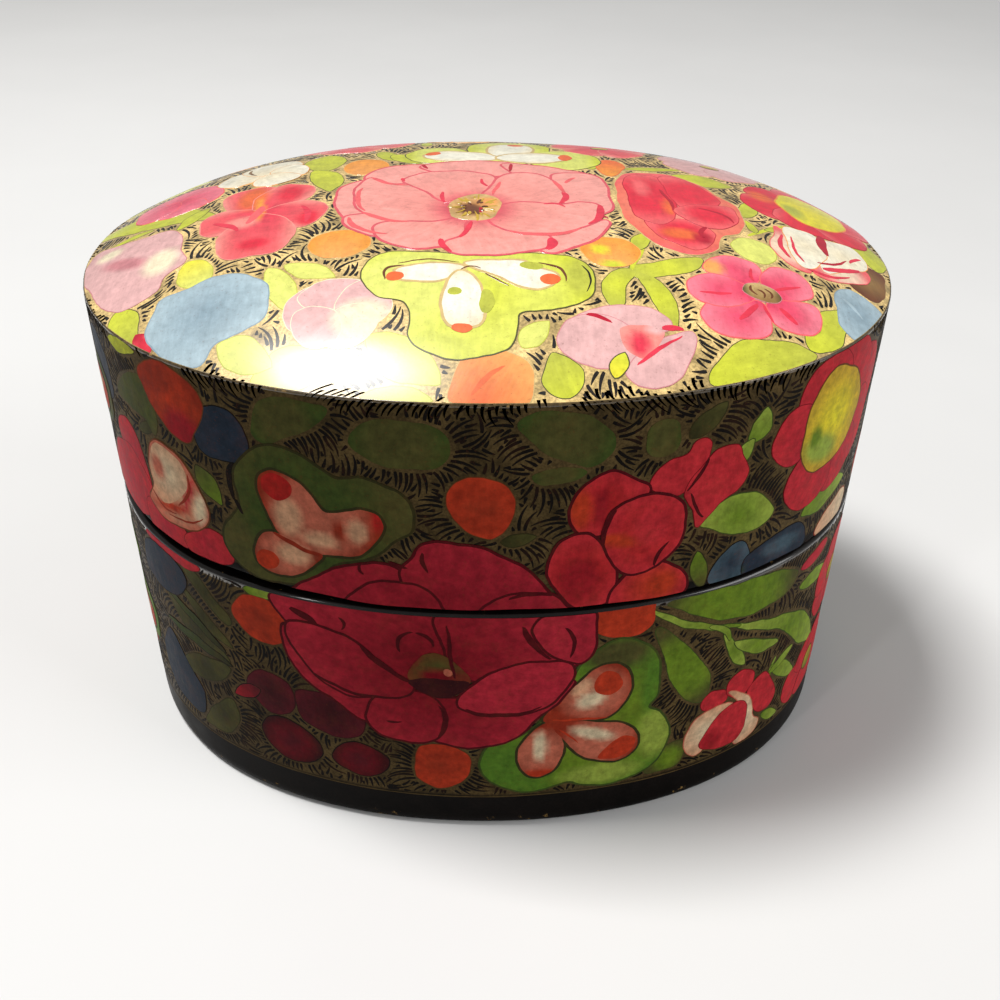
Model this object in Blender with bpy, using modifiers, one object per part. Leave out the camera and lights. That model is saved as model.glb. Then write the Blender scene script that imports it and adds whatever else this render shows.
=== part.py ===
"""Oval papier mache trinket box with a lift-off domed lid.

The box is built as it is made by hand. Layered paper is wound into two upright
oval walls. A flat board closes the lower wall, a moulded crown closes the upper
one, and a thin collar glued inside the lower wall stands up past the seam, so
that the lid slides down over it. Units are metres, +Z is up, and the origin is
the middle of the face that the box rests on.
"""

import math

import bmesh
import bpy
from mathutils import Vector

# Overall oval, measured over the outside of the walls
LONG_AXIS = 0.100
SHORT_AXIS = 0.079
OVAL_FULLNESS = 0.014

# Heights above the table
SEAM_HEIGHT = 0.0359
ARRIS_HEIGHT = 0.0627

# Walls and floor board
BODY_WALL = 0.0026
LID_WALL = 0.0026
FLOOR_THICKNESS = 0.0024
FOOT_ROUND = 0.0016
RIM_ROUND = 0.0006

# Crown of the lid
CROWN_RISE = 0.0081
CROWN_POWER = 3.4
CROWN_THICKNESS = 0.0025
CROWN_EDGE = 0.0012
ARRIS_ROUND = 0.0004

# Locating collar
COLLAR_THICKNESS = 0.0016
COLLAR_DEPTH = 0.0085
COLLAR_STAND = 0.0055
COLLAR_ROUND = 0.0005

# Clearances
GLUE_GAP = 0.0003
SEAM_GAP = 0.0003
LID_CLEARANCE = 0.0003

# Fineness of the round work
OVAL_STEPS = 80
ROUND_STEPS = 3
CROWN_STEPS = 10

COLLECTION_NAME = "oval_papier_mache_box"


def clear_scene():
    """Remove whatever the file holds."""
    for item in list(bpy.data.objects):
        bpy.data.objects.remove(item, do_unlink=True)


def make_material(name, colour, roughness):
    """Return a Principled material with one colour."""
    material = bpy.data.materials.new(name)
    material.use_nodes = True
    shader = material.node_tree.nodes["Principled BSDF"]
    shader.inputs["Base Color"].default_value = (*colour, 1.0)
    shader.inputs["Roughness"].default_value = roughness
    shader.inputs["Metallic"].default_value = 0.0
    return material


def oval_point(angle):
    """Point on the outer oval, a little fuller at the shoulders than an ellipse."""
    full = OVAL_FULLNESS
    x = (1 + full) * math.cos(angle) - full * math.cos(3 * angle)
    y = (1 + full) * math.sin(angle) + full * math.sin(3 * angle)
    return Vector((x * LONG_AXIS / 2, y * SHORT_AXIS / 2, 0.0))


def oval_normal(angle):
    """Outward unit normal of the outer oval."""
    full = OVAL_FULLNESS
    x_rate = -(1 + full) * math.sin(angle) + 3 * full * math.sin(3 * angle)
    y_rate = (1 + full) * math.cos(angle) + 3 * full * math.cos(3 * angle)
    normal = Vector((y_rate * SHORT_AXIS / 2, -x_rate * LONG_AXIS / 2, 0.0))
    return normal.normalized()


def oval_ring(inset, height=0.0, scale=1.0):
    """Points of the oval set in from the outer wall by inset, then scaled about its middle."""
    ring = []
    for step in range(OVAL_STEPS):
        angle = 2 * math.pi * step / OVAL_STEPS
        point = (oval_point(angle) - oval_normal(angle) * inset) * scale
        point.z = height
        ring.append(point)
    return ring


def add_object(name, mesh, material, collection, parent, height):
    """Put a finished mesh in the scene at its height under its parent."""
    item = bpy.data.objects.new(name, mesh)
    item.data.materials.clear()
    item.data.materials.append(material)
    item.parent = parent
    item.location = (0.0, 0.0, height)
    collection.objects.link(item)
    item.data.shade_smooth()
    item.data.set_sharp_from_angle(angle=math.radians(50))
    return item


def evaluated_mesh(item):
    """Mesh of an object with its modifiers or its curve settings applied."""
    graph = bpy.context.evaluated_depsgraph_get()
    return bpy.data.meshes.new_from_object(item.evaluated_get(graph))


def ring_edges(mesh, height, inset):
    """Edges of a bmesh that lie on one level and on one set-in oval."""
    guide = oval_ring(inset)
    found = []
    for edge in mesh.edges:
        if all(abs(corner.co.z - height) < 1e-6 for corner in edge.verts):
            flat = [Vector((corner.co.x, corner.co.y, 0.0)) for corner in edge.verts]
            if all(min((spot - point).length for point in guide) < 1e-4 for spot in flat):
                found.append(edge)
    return found


def wall_mesh(name, inset, thickness, height, rounds):
    """Upright oval wall: an open strip thickened inwards, with some edges rounded.

    Each entry of rounds is the level of an edge, how far it is set in from the
    outside of the box, and its radius.
    """
    strip = bmesh.new()
    corners = [strip.verts.new(point) for point in oval_ring(inset)]
    edges = []
    for step, corner in enumerate(corners):
        edges.append(strip.edges.new((corner, corners[(step + 1) % OVAL_STEPS])))
    raised = bmesh.ops.extrude_edge_only(strip, edges=edges)
    upper = [part for part in raised["geom"] if isinstance(part, bmesh.types.BMVert)]
    bmesh.ops.translate(strip, verts=upper, vec=(0.0, 0.0, height))
    bmesh.ops.recalc_face_normals(strip, faces=strip.faces)
    open_mesh = bpy.data.meshes.new(name + "_strip")
    strip.to_mesh(open_mesh)
    strip.free()

    blank = bpy.data.objects.new(name + "_blank", open_mesh)
    bpy.context.scene.collection.objects.link(blank)
    solidify = blank.modifiers.new("wall", "SOLIDIFY")
    solidify.thickness = thickness
    solidify.offset = -1.0
    solidify.use_even_offset = True
    solid = evaluated_mesh(blank)
    bpy.data.objects.remove(blank, do_unlink=True)

    work = bmesh.new()
    work.from_mesh(solid)
    for level, edge_inset, radius in rounds:
        chosen = ring_edges(work, level, edge_inset)
        bmesh.ops.bevel(work, geom=chosen, offset=radius, segments=ROUND_STEPS,
                        profile=0.5, affect="EDGES", clamp_overlap=True)
    bmesh.ops.recalc_face_normals(work, faces=work.faces)
    work.to_mesh(solid)
    work.free()
    solid.name = name
    return solid


def plate_mesh(name, inset, thickness):
    """Flat oval board: a filled 2D outline given its thickness."""
    curve = bpy.data.curves.new(name + "_outline", "CURVE")
    curve.dimensions = "2D"
    curve.fill_mode = "BOTH"
    curve.extrude = thickness / 2
    spline = curve.splines.new("POLY")
    spline.points.add(OVAL_STEPS - 1)
    for slot, point in zip(spline.points, oval_ring(inset)):
        slot.co = (point.x, point.y, 0.0, 1.0)
    spline.use_cyclic_u = True
    blank = bpy.data.objects.new(name + "_blank", curve)
    bpy.context.scene.collection.objects.link(blank)
    bpy.context.view_layer.update()
    mesh = evaluated_mesh(blank)
    bpy.data.objects.remove(blank, do_unlink=True)

    work = bmesh.new()
    work.from_mesh(mesh)
    bmesh.ops.remove_doubles(work, verts=work.verts, dist=1e-6)
    bmesh.ops.translate(work, verts=work.verts, vec=(0.0, 0.0, thickness / 2))
    bmesh.ops.recalc_face_normals(work, faces=work.faces)
    work.to_mesh(mesh)
    work.free()
    mesh.name = name
    return mesh


def crown_share(step):
    """Distance from the middle of the crown, as a share, with rings closer near the arris."""
    return math.sin(math.pi / 2 * step / CROWN_STEPS)


def crown_mesh(name):
    """Domed top lofted through oval rings, with its level zero at the arris.

    The outer skin runs from the middle to the arris, the edge drops to a flat
    landing that sits on the wall, and a vault below follows the outer skin.
    """
    vault_rise = CROWN_RISE + CROWN_EDGE - CROWN_THICKNESS
    rings = []
    for step in range(1, CROWN_STEPS + 1):
        share = crown_share(step)
        rings.append(oval_ring(0.0, CROWN_RISE * (1 - share ** CROWN_POWER), share))
    rings.append(oval_ring(0.0, -CROWN_EDGE))
    for step in range(CROWN_STEPS, 0, -1):
        share = crown_share(step)
        level = vault_rise * (1 - share ** CROWN_POWER) - CROWN_EDGE
        rings.append(oval_ring(LID_WALL, level, share))

    work = bmesh.new()
    loops = [[work.verts.new(point) for point in ring] for ring in rings]
    for upper, lower in zip(loops, loops[1:]):
        for step in range(OVAL_STEPS):
            after = (step + 1) % OVAL_STEPS
            work.faces.new((upper[step], lower[step], lower[after], upper[after]))
    tip = work.verts.new((0.0, 0.0, CROWN_RISE))
    vault_tip = work.verts.new((0.0, 0.0, vault_rise - CROWN_EDGE))
    for step in range(OVAL_STEPS):
        after = (step + 1) % OVAL_STEPS
        work.faces.new((tip, loops[0][step], loops[0][after]))
        work.faces.new((vault_tip, loops[-1][after], loops[-1][step]))
    arris = ring_edges(work, 0.0, 0.0)
    bmesh.ops.bevel(work, geom=arris, offset=ARRIS_ROUND, segments=ROUND_STEPS,
                    profile=0.5, affect="EDGES", clamp_overlap=True)
    bmesh.ops.recalc_face_normals(work, faces=work.faces)
    mesh = bpy.data.meshes.new(name)
    work.to_mesh(mesh)
    work.free()
    return mesh


def build_body(collection):
    """Lower half: wall, floor board and the collar that locates the lid."""
    painted = make_material("painted_body", (0.235, 0.075, 0.050), 0.32)
    board = make_material("black_base", (0.012, 0.010, 0.010), 0.42)
    lining = make_material("black_lining", (0.016, 0.014, 0.013), 0.55)

    wall_height = SEAM_HEIGHT - SEAM_GAP / 2
    rounds = [(0.0, 0.0, FOOT_ROUND), (wall_height, 0.0, RIM_ROUND),
              (wall_height, BODY_WALL, RIM_ROUND)]
    wall = wall_mesh("body_band", 0.0, BODY_WALL, wall_height, rounds)
    add_object("body_band", wall, painted, collection, None, 0.0)

    floor = plate_mesh("body_floor", BODY_WALL + GLUE_GAP, FLOOR_THICKNESS)
    add_object("body_floor", floor, board, collection, None, 0.0)

    collar_inset = max(BODY_WALL + GLUE_GAP, LID_WALL + LID_CLEARANCE)
    collar_height = COLLAR_DEPTH + COLLAR_STAND
    rounds = [(collar_height, collar_inset, COLLAR_ROUND),
              (collar_height, collar_inset + COLLAR_THICKNESS, COLLAR_ROUND)]
    collar = wall_mesh("inner_collar", collar_inset, COLLAR_THICKNESS, collar_height, rounds)
    add_object("inner_collar", collar, lining, collection, None, SEAM_HEIGHT - COLLAR_DEPTH)


def build_lid(collection):
    """Upper half: wall and crown, carried on an empty at the seam that the lid lifts from."""
    painted = make_material("painted_lid", (0.205, 0.095, 0.050), 0.30)
    crown_paint = make_material("painted_crown", (0.560, 0.330, 0.200), 0.26)

    lift = bpy.data.objects.new("lid_lift", None)
    lift.empty_display_size = LONG_AXIS / 4
    lift.location = (0.0, 0.0, SEAM_HEIGHT + SEAM_GAP / 2)
    collection.objects.link(lift)

    crown_height = ARRIS_HEIGHT - lift.location.z
    wall_height = crown_height - CROWN_EDGE - GLUE_GAP
    rounds = [(0.0, 0.0, RIM_ROUND), (0.0, LID_WALL, RIM_ROUND)]
    wall = wall_mesh("lid_band", 0.0, LID_WALL, wall_height, rounds)
    add_object("lid_band", wall, painted, collection, lift, 0.0)

    crown = crown_mesh("lid_crown")
    add_object("lid_crown", crown, crown_paint, collection, lift, crown_height)


def main():
    """Build the whole box."""
    clear_scene()
    collection = bpy.data.collections.new(COLLECTION_NAME)
    bpy.context.scene.collection.children.link(collection)
    build_body(collection)
    build_lid(collection)
    bpy.context.view_layer.update()


main()
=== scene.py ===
"""Looks of the oval papier mache box: lacquered shells, painted flowers and black pen work on gilt.

The decoration is drawn in millimetres on two kinds of chart, one for the crown and one
for an upright wall, and each painted shape is laid on the surface as a thin closed body.
"""
import logging
import math
from dataclasses import dataclass, field, replace
from enum import Enum
from itertools import groupby, product
from typing import Sequence

import bpy
import numpy as np
from mathutils import Matrix, Vector
from mathutils.geometry import delaunay_2d_cdt


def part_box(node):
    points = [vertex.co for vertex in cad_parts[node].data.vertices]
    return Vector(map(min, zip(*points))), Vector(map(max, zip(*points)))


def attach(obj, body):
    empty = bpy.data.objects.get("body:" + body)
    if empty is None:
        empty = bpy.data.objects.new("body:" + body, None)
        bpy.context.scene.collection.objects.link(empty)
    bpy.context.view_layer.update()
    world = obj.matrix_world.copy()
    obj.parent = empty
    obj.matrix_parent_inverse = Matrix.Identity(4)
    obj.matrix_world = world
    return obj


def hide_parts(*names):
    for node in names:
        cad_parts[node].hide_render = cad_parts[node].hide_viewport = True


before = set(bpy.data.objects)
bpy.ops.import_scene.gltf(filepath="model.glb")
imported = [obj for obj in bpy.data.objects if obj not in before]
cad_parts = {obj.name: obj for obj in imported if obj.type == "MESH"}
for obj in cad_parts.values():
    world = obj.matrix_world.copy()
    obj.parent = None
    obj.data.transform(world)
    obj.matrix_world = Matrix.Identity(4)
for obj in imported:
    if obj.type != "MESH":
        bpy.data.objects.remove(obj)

LOG = logging.getLogger("papier_mache_box")

MM = 0.001
Plan = tuple[float, float]
Row = tuple[float, ...]
Colour = tuple[float, float, float]

# Build of the painted skin, in millimetres
SKIN_INSET = 0.34
COAT_STEP = 0.004
FIRST_COAT = 0.02
LACQUER_COAT = 0.015
SKIRT_DEPTH = 0.03
EDGE_PITCH = 0.4
FIELD_PITCH = 0.65
FIELD_MARGIN = 0.3
STACK_CELL = 0.6
PEN_CELL = 0.2

# Decoration limits, in millimetres, but the crown's reach is a share of the way out
GOLD_LINE_LEVEL = 5.9
CROWN_REACH = 0.992
ARRIS_MARGIN = 0.3
RIM_MARGIN = 0.35
WRAP_MARGIN = 0.02
BACK_WALK = 143.05

# Rings of the lid's shell, counted from the top: the crown's, those that bend over the arris,
# and those under gilt; and the rows of the arris up to which it is crown and from which it is wall
CROWN_RINGS = 46
ARRIS_RINGS = slice(38, 54)
GILT_RINGS = range(51)
CROWN_SIDE = 8.0
WALL_SIDE = 11.0

# Places that a random search looks at, and points along each side of a stroke over the arris
LEAF_TRIES = 700
STROKE_TRIES = 22000
EDGE_STATIONS = 8

# Kind of a mesh layer and the name of its values, by how many numbers a point has
LAYER_KINDS = {1: ("FLOAT", "value"), 3: ("FLOAT_VECTOR", "vector"), 4: ("FLOAT_COLOR", "color")}


class Body(Enum):
    """The two bodies that the paint rides on."""

    BODY = "body"
    LID = "lid"


class Slot(Enum):
    """Names of the painted skins' material slots; each canvas keeps one, and nothing here assigns it."""

    BODY = "painted_body"
    LID = "painted_lid"
    CROWN = "painted_crown"


class Look(Enum):
    """Finishes of the box, by the names of their materials."""

    CROWN_PAINT = "paint_under_glossy_varnish"
    WALL_PAINT = "paint_under_satin_varnish"
    GROUND = "ground_under_varnish"
    GILDING = "gilt_under_glossy_varnish"
    LACQUER = "black_lacquer"
    BOARD = "black_board"
    LINING = "black_lining"


@dataclass(frozen=True)
class Pigment:
    """A mixed colour, given as sRGB levels from 0 to 255."""

    red: int
    green: int
    blue: int

    def linear(self) -> np.ndarray:
        """Return the colour as linear light."""
        levels = np.array([self.red, self.green, self.blue]) / 255.0
        return np.where(levels <= 0.04045, levels / 12.92, ((levels + 0.055) / 1.055) ** 2.4)


class Paint(Enum):
    """The painter's pots."""

    # SALMON to YELLOW are mostly the crown's pots, mixed paler than the walls' pots: partly their own paler
    # paint and partly a painted highlight, the glare of the crown's varnish under the overhead light
    SALMON = Pigment(250, 150, 140)
    SALMON_PALE = Pigment(253, 170, 160)
    SALMON_LINE = Pigment(226, 92, 104)
    CORAL = Pigment(248, 104, 108)
    CORAL_DEEP = Pigment(234, 58, 82)
    CRIMSON = Pigment(234, 40, 66)
    CRIMSON_DEEP = Pigment(190, 20, 50)
    PINK = Pigment(250, 132, 150)
    PINK_DEEP = Pigment(236, 72, 106)
    APRICOT = Pigment(252, 172, 94)
    AMBER = Pigment(250, 162, 60)
    VERMILION = Pigment(244, 110, 58)
    MAUVE = Pigment(234, 184, 182)
    MAUVE_DEEP = Pigment(214, 138, 144)
    SKY = Pigment(142, 166, 180)
    SKY_PALE = Pigment(174, 196, 206)
    LIME = Pigment(216, 222, 60)
    LIME_PALE = Pigment(230, 234, 120)
    LEAF = Pigment(192, 196, 72)
    CREAM = Pigment(252, 238, 204)
    WHITE = Pigment(253, 249, 230)
    YELLOW = Pigment(242, 230, 56)
    UMBER = Pigment(112, 62, 34)
    MADDER = Pigment(164, 32, 42)
    MADDER_PALE = Pigment(188, 44, 60)
    MADDER_DEEP = Pigment(122, 16, 28)
    MADDER_LINE = Pigment(84, 14, 22)
    SCARLET = Pigment(184, 38, 36)
    RED = Pigment(204, 50, 58)
    BURGUNDY = Pigment(92, 26, 36)
    BURGUNDY_DEEP = Pigment(60, 18, 22)
    RUST = Pigment(158, 52, 32)
    FLAME = Pigment(196, 62, 36)
    FLESH = Pigment(204, 112, 88)
    FLESH_PALE = Pigment(226, 172, 134)
    GRASS = Pigment(110, 138, 38)
    FERN = Pigment(88, 128, 40)
    MOSS = Pigment(64, 80, 34)
    OLIVE = Pigment(84, 82, 42)
    OLIVE_DARK = Pigment(54, 52, 26)
    SPRIG = Pigment(156, 176, 72)
    SLATE = Pigment(72, 92, 104)
    SLATE_DARK = Pigment(40, 50, 64)
    IVORY = Pigment(240, 218, 180)
    MUSTARD = Pigment(208, 170, 56)
    GOLD = Pigment(158, 124, 70)
    GILT = Pigment(216, 186, 124)
    # SHADED_GILT is GILT darkened for the walls, the lid's arris and the gold line at the foot: a painted
    # shade, as the walls stand in less light than the crown
    SHADED_GILT = Pigment(86, 70, 42)
    INK = Pigment(16, 12, 10)
    SOOT = Pigment(24, 18, 14)
    GESSO = Pigment(196, 184, 160)


@dataclass(frozen=True)
class Glow:
    """A soft patch of another colour, placed on the plan."""

    paint: Paint
    spot: Plan
    reach: Plan
    turn: float = 0.0

    def share(self, points: np.ndarray) -> np.ndarray:
        """Return how much of the patch's colour each point takes, from 0 to 1.

        Args:
            points: places on the plan, one row a point.

        Returns:
            A share for each point.
        """
        cosine, sine = math.cos(math.radians(self.turn)), math.sin(math.radians(self.turn))
        local = points - np.array(self.spot)
        long = (local[:, 0] * cosine + local[:, 1] * sine) / self.reach[0]
        short = (local[:, 1] * cosine - local[:, 0] * sine) / self.reach[1]
        return np.clip((1.3 - np.hypot(long, short)) / 0.6, 0.0, 1.0)


@dataclass(frozen=True)
class Wash:
    """How one shape is filled: from its root to its tip, towards its rim, and its line.

    Neighbours in a joined wash share one line round them all.
    """

    root: Paint
    tip: Paint
    line: Paint
    rim: Paint | None = None
    line_width: float = 0.14
    mottle: Paint | None = None
    joined: bool = False
    glows: tuple[Glow, ...] = ()

    def colours(self, points: np.ndarray, along: np.ndarray, across: np.ndarray) -> np.ndarray:
        """Mix the two colours at each point of a shape.

        Args:
            points: places on the plan, one row a point.
            along: distance from the root, from 0 to 1.
            across: distance from the middle line, from 0 to 1.

        Returns:
            Linear colours, the main one and then the one it is dabbed with, one row a point.
        """
        rim = self.root if self.rim is None else self.rim
        edge = np.zeros(len(points)) if self.rim is None else np.clip((across - 0.45) / 0.5, 0.0, 1.0) ** 1.5
        layers = [(np.clip(along, 0.0, 1.0), self.tip), (edge, rim)]
        layers += [(glow.share(points), glow.paint) for glow in self.glows]
        mixed = np.tile(self.root.value.linear(), (len(points), 1))
        for share, paint in layers:
            mixed = mixed * (1 - share[:, None]) + paint.value.linear() * share[:, None]
        dabbed = mixed * 0.7 if self.mottle is None else np.tile(self.mottle.value.linear(), (len(mixed), 1))
        return np.hstack([mixed, dabbed])


def fresh_phase(spot: Plan) -> float:
    """Return a steady but irregular number for a place on the plan."""
    return (spot[0] * 12.9898 + spot[1] * 78.233) % (2 * math.pi)


def walked(line: np.ndarray) -> np.ndarray:
    """Return the distance walked along a line up to each of its points."""
    return np.concatenate([[0.0], np.cumsum(np.hypot(*np.diff(line, axis=0).T))])


def at_marks(marks: np.ndarray, walk: np.ndarray, rows: np.ndarray) -> np.ndarray:
    """Return rows of two numbers, known at some distances walked, at other distances."""
    return np.stack([np.interp(marks, walk, rows[:, axis]) for axis in (0, 1)], axis=1)


def leftward(line: np.ndarray) -> np.ndarray:
    """Return unit vectors to the left of an open line, one at each of its points.

    Args:
        line: points of the line, one row a point.

    Returns:
        A vector for each point.
    """
    way = np.gradient(line, axis=0)
    way /= np.maximum(np.hypot(way[:, 0], way[:, 1]), 1e-9)[:, None]
    return np.stack([-way[:, 1], way[:, 0]], axis=1)


def run_between(points: np.ndarray, start: np.ndarray, end: np.ndarray) -> np.ndarray:
    """Return how far each point lies along the way from one spot to another, and left of it."""
    way = (end - start) / max(math.hypot(*(end - start)), 1e-6)
    return np.stack([(points - start) @ way, (points - start) @ np.array([-way[1], way[0]])], axis=1)


def grid_over(low: np.ndarray, high: np.ndarray, step: float) -> np.ndarray:
    """Return the points of a square grid between two corners, one row a point."""
    sides = [np.arange(low[axis], high[axis], step) for axis in (0, 1)]
    return np.stack(np.meshgrid(*sides), axis=-1).reshape(-1, 2)


def even_loop(line: np.ndarray, pitch: float) -> np.ndarray:
    """Respace a closed line evenly and turn it anticlockwise.

    Args:
        line: points of the line, one row a point.
        pitch: distance between the points returned.

    Returns:
        Points of the line, with no point repeated at its end.
    """
    closed = np.vstack([line, line[:1]])
    walk = walked(closed)
    count = max(10, int(round(walk[-1] / pitch)))
    loop = at_marks(np.linspace(0.0, walk[-1], count, endpoint=False), walk, closed)
    return loop if signed_area(loop) > 0 else loop[::-1]


def smooth_loop(corners: Sequence[Plan], pitch: float) -> np.ndarray:
    """Draw a closed curve through given points.

    Args:
        corners: points that the curve passes through, in order.
        pitch: distance between the points returned.

    Returns:
        Points of the curve, anticlockwise.
    """
    knots = np.array(corners, dtype=float)
    before, after, beyond = (np.roll(knots, shift, axis=0) for shift in (1, -1, -2))
    stations = np.linspace(0.0, 1.0, 12, endpoint=False)[:, None, None]
    line = 0.5 * (2 * knots + (after - before) * stations
                  + (2 * before - 5 * knots + 4 * after - beyond) * stations ** 2
                  + (3 * knots - before - 3 * after + beyond) * stations ** 3)
    return even_loop(line.transpose(1, 0, 2).reshape(-1, 2), pitch)


def signed_area(loop: np.ndarray) -> float:
    """Return the area inside a loop, positive when it runs anticlockwise."""
    ahead = np.roll(loop, -1, axis=0)
    return float(np.sum(loop[:, 0] * ahead[:, 1] - ahead[:, 0] * loop[:, 1]) / 2)


def loop_normals(loop: np.ndarray) -> np.ndarray:
    """Return the outward unit normals of an anticlockwise loop.

    Args:
        loop: points of the loop, one row a point.

    Returns:
        A vector for each point.
    """
    way = np.roll(loop, -1, axis=0) - np.roll(loop, 1, axis=0)
    way /= np.maximum(np.hypot(way[:, 0], way[:, 1]), 1e-9)[:, None]
    return np.stack([way[:, 1], -way[:, 0]], axis=1)


def grown(loop: np.ndarray, width: float) -> np.ndarray:
    """Return a loop moved outward by a width."""
    return even_loop(loop + loop_normals(loop) * width, EDGE_PITCH)


def inside(points: np.ndarray, loop: np.ndarray) -> np.ndarray:
    """Say which points lie inside a loop.

    Args:
        points: places on the plan, one row a point.
        loop: points of the loop.

    Returns:
        True or False for each point.
    """
    ahead = np.roll(loop, -1, axis=0)
    x, y = points[:, 0:1], points[:, 1:2]
    spans = (loop[:, 1] > y) != (ahead[:, 1] > y)
    rise = np.where(ahead[:, 1] == loop[:, 1], 1e-12, ahead[:, 1] - loop[:, 1])
    cross = (ahead[:, 0] - loop[:, 0]) * (y - loop[:, 1]) / rise + loop[:, 0]
    return (np.sum(spans & (x < cross), axis=1) % 2) == 1


@dataclass(frozen=True)
class Petal:
    """A shape pulled with a loaded brush from its base to its tip."""

    base: Plan
    tip: Plan
    breadth: float
    wash: Wash
    belly: float = 0.58
    blunt: float = 1.0
    root: float = 0.7
    bend: float = 0.0
    notch: float = 0.0

    def axes(self) -> tuple[np.ndarray, np.ndarray, np.ndarray, float]:
        """Return the base, the way to the tip, the unit vector to its left and the length.

        Returns:
            The base, the way, the vector and the length, in millimetres.
        """
        base = np.array(self.base)
        way = np.array(self.tip) - base
        length = math.hypot(*way)
        return base, way, np.array([-way[1], way[0]]) / length, length

    def outline(self) -> np.ndarray:
        """Return the edge of the petal, anticlockwise.

        Returns:
            Points on the plan, one row a point.
        """
        run = (1 - np.cos(np.linspace(0.0, math.pi, 40))) / 2
        rise = np.clip((self.belly - run) / self.belly, 0.0, 1.0)
        fall = np.clip((run - self.belly) / (1 - self.belly), 0.0, 1.0)
        half = self.breadth / 2 * np.where(run < self.belly, self.swell(rise, self.root),
                                           self.swell(fall, self.blunt))
        phase = fresh_phase(self.base)
        half = half * (1 + 0.035 * np.sin(5.3 * run + phase) + 0.02 * np.sin(13.0 * run + 2 * phase))
        spine, side = self.spine(run)
        line = np.vstack([spine - side * half[:, None], (spine + side * half[:, None])[-2:0:-1]])
        if self.notch:
            along, across = self.tones(line)
            dip = np.exp(-(across / 0.4) ** 2) * np.clip(along, 0, 1) ** 6
            line = line - self.axes()[1] * (self.notch * dip)[:, None]
        return even_loop(line, EDGE_PITCH)

    @staticmethod
    def swell(distance: np.ndarray, bluntness: float) -> np.ndarray:
        """Return the share of the full width left at a distance from the belly."""
        return (1 - distance ** (1.5 + 0.6 * bluntness)) ** (1 / (1 + bluntness))

    def spine(self, run: np.ndarray) -> tuple[np.ndarray, np.ndarray]:
        """Return the middle line at some shares of its run, and its left side.

        Args:
            run: shares of the way from the base to the tip.

        Returns:
            Points of the line, and a unit vector for each.
        """
        base, way, left, length = self.axes()
        bow = self.bend * length
        line = base + run[:, None] * way + left * (4 * bow * run * (1 - run))[:, None]
        heading = way + left * (4 * bow * (1 - 2 * run))[:, None]
        heading /= np.hypot(heading[:, 0], heading[:, 1])[:, None]
        return line, np.stack([-heading[:, 1], heading[:, 0]], axis=1)

    def tones(self, points: np.ndarray) -> tuple[np.ndarray, np.ndarray]:
        """Return how far along and across the petal each point lies.

        Args:
            points: places on the plan, one row a point.

        Returns:
            The share of the length, and the share of the half breadth.
        """
        base, way, left, length = self.axes()
        along = (points - base) @ way / length ** 2
        share = np.clip(along, 0.0, 1.0)
        off = (points - base) @ left - 4 * self.bend * length * share * (1 - share)
        return along, np.abs(off) / (self.breadth / 2)

    def brush(self, points: np.ndarray) -> np.ndarray:
        """Return the streak coordinates of each point, in millimetres."""
        return run_between(points, np.array(self.base), np.array(self.tip))


@dataclass(frozen=True)
class Blot:
    """A shape filled inside an outline given point by point."""

    corners: tuple[Plan, ...]
    wash: Wash
    heart: Plan | None = None
    reach: float = 14.0

    def outline(self) -> np.ndarray:
        """Return the edge of the blot, anticlockwise."""
        return smooth_loop(self.corners, EDGE_PITCH)

    def middle(self) -> np.ndarray:
        """Return the mean of the outline's points."""
        return np.mean(np.array(self.corners), axis=0)

    def tones(self, points: np.ndarray) -> tuple[np.ndarray, np.ndarray]:
        """Return how far from the heart and from the middle each point lies.

        Args:
            points: places on the plan, one row a point.

        Returns:
            The share of the reach, and the share of half the blot's span.
        """
        span = np.max(np.ptp(np.array(self.corners), axis=0)) / 2
        across = np.hypot(*(points - self.middle()).T) / span
        if self.heart is None:
            return across, across
        return np.hypot(*(points - np.array(self.heart)).T) / self.reach, across

    def brush(self, points: np.ndarray) -> np.ndarray:
        """Return the streak coordinates of each point, in millimetres."""
        source = np.array(self.heart) if self.heart is not None else self.middle() + (0.0, 9.0)
        return run_between(points, source, self.middle())


@dataclass(frozen=True)
class Stroke:
    """A tapered line drawn with the tip of the brush."""

    points: tuple[Plan, ...]
    width: float
    wash: Wash

    def outline(self) -> np.ndarray:
        """Return the edge of the stroke, anticlockwise.

        Returns:
            Points on the plan, one row a point.
        """
        line = self.path(24)
        run = np.linspace(0.0, 1.0, len(line))
        half = self.width / 2 * (0.25 + 0.75 * np.sin(math.pi * run ** 0.8) ** 0.7)
        side = leftward(line) * half[:, None]
        return even_loop(np.vstack([line - side, (line + side)[::-1]]), min(EDGE_PITCH, self.width))

    def path(self, count: int) -> np.ndarray:
        """Return points of the smooth middle line.

        Args:
            count: number of points.

        Returns:
            The points, one row a point.
        """
        knots = np.array(self.points, dtype=float)
        if len(knots) == 2:
            run = np.linspace(0.0, 1.0, count)[:, None]
            return knots[0] * (1 - run) + knots[1] * run
        steps = walked(knots)
        fit = [np.polyfit(steps, knots[:, axis], len(knots) - 1) for axis in (0, 1)]
        marks = np.linspace(0.0, steps[-1], count)
        return np.stack([np.polyval(terms, marks) for terms in fit], axis=1)

    def tones(self, points: np.ndarray) -> tuple[np.ndarray, np.ndarray]:
        """Return how far along the stroke each point lies; it has no rim.

        Args:
            points: places on the plan, one row a point.

        Returns:
            The share of the length, and zeros.
        """
        start, end = np.array(self.points[0]), np.array(self.points[-1])
        way = end - start
        return (points - start) @ way / max(float(way @ way), 1e-6), np.zeros(len(points))

    def brush(self, points: np.ndarray) -> np.ndarray:
        """Return the streak coordinates of each point, in millimetres."""
        return points - np.array(self.points[0])


Shape = Petal | Blot | Stroke


@dataclass(frozen=True)
class Motif:
    """A named group of shapes, painted in order, with a margin that the pen work leaves free."""

    name: str
    shapes: tuple[Shape, ...]
    margin: float = 0.32


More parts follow.
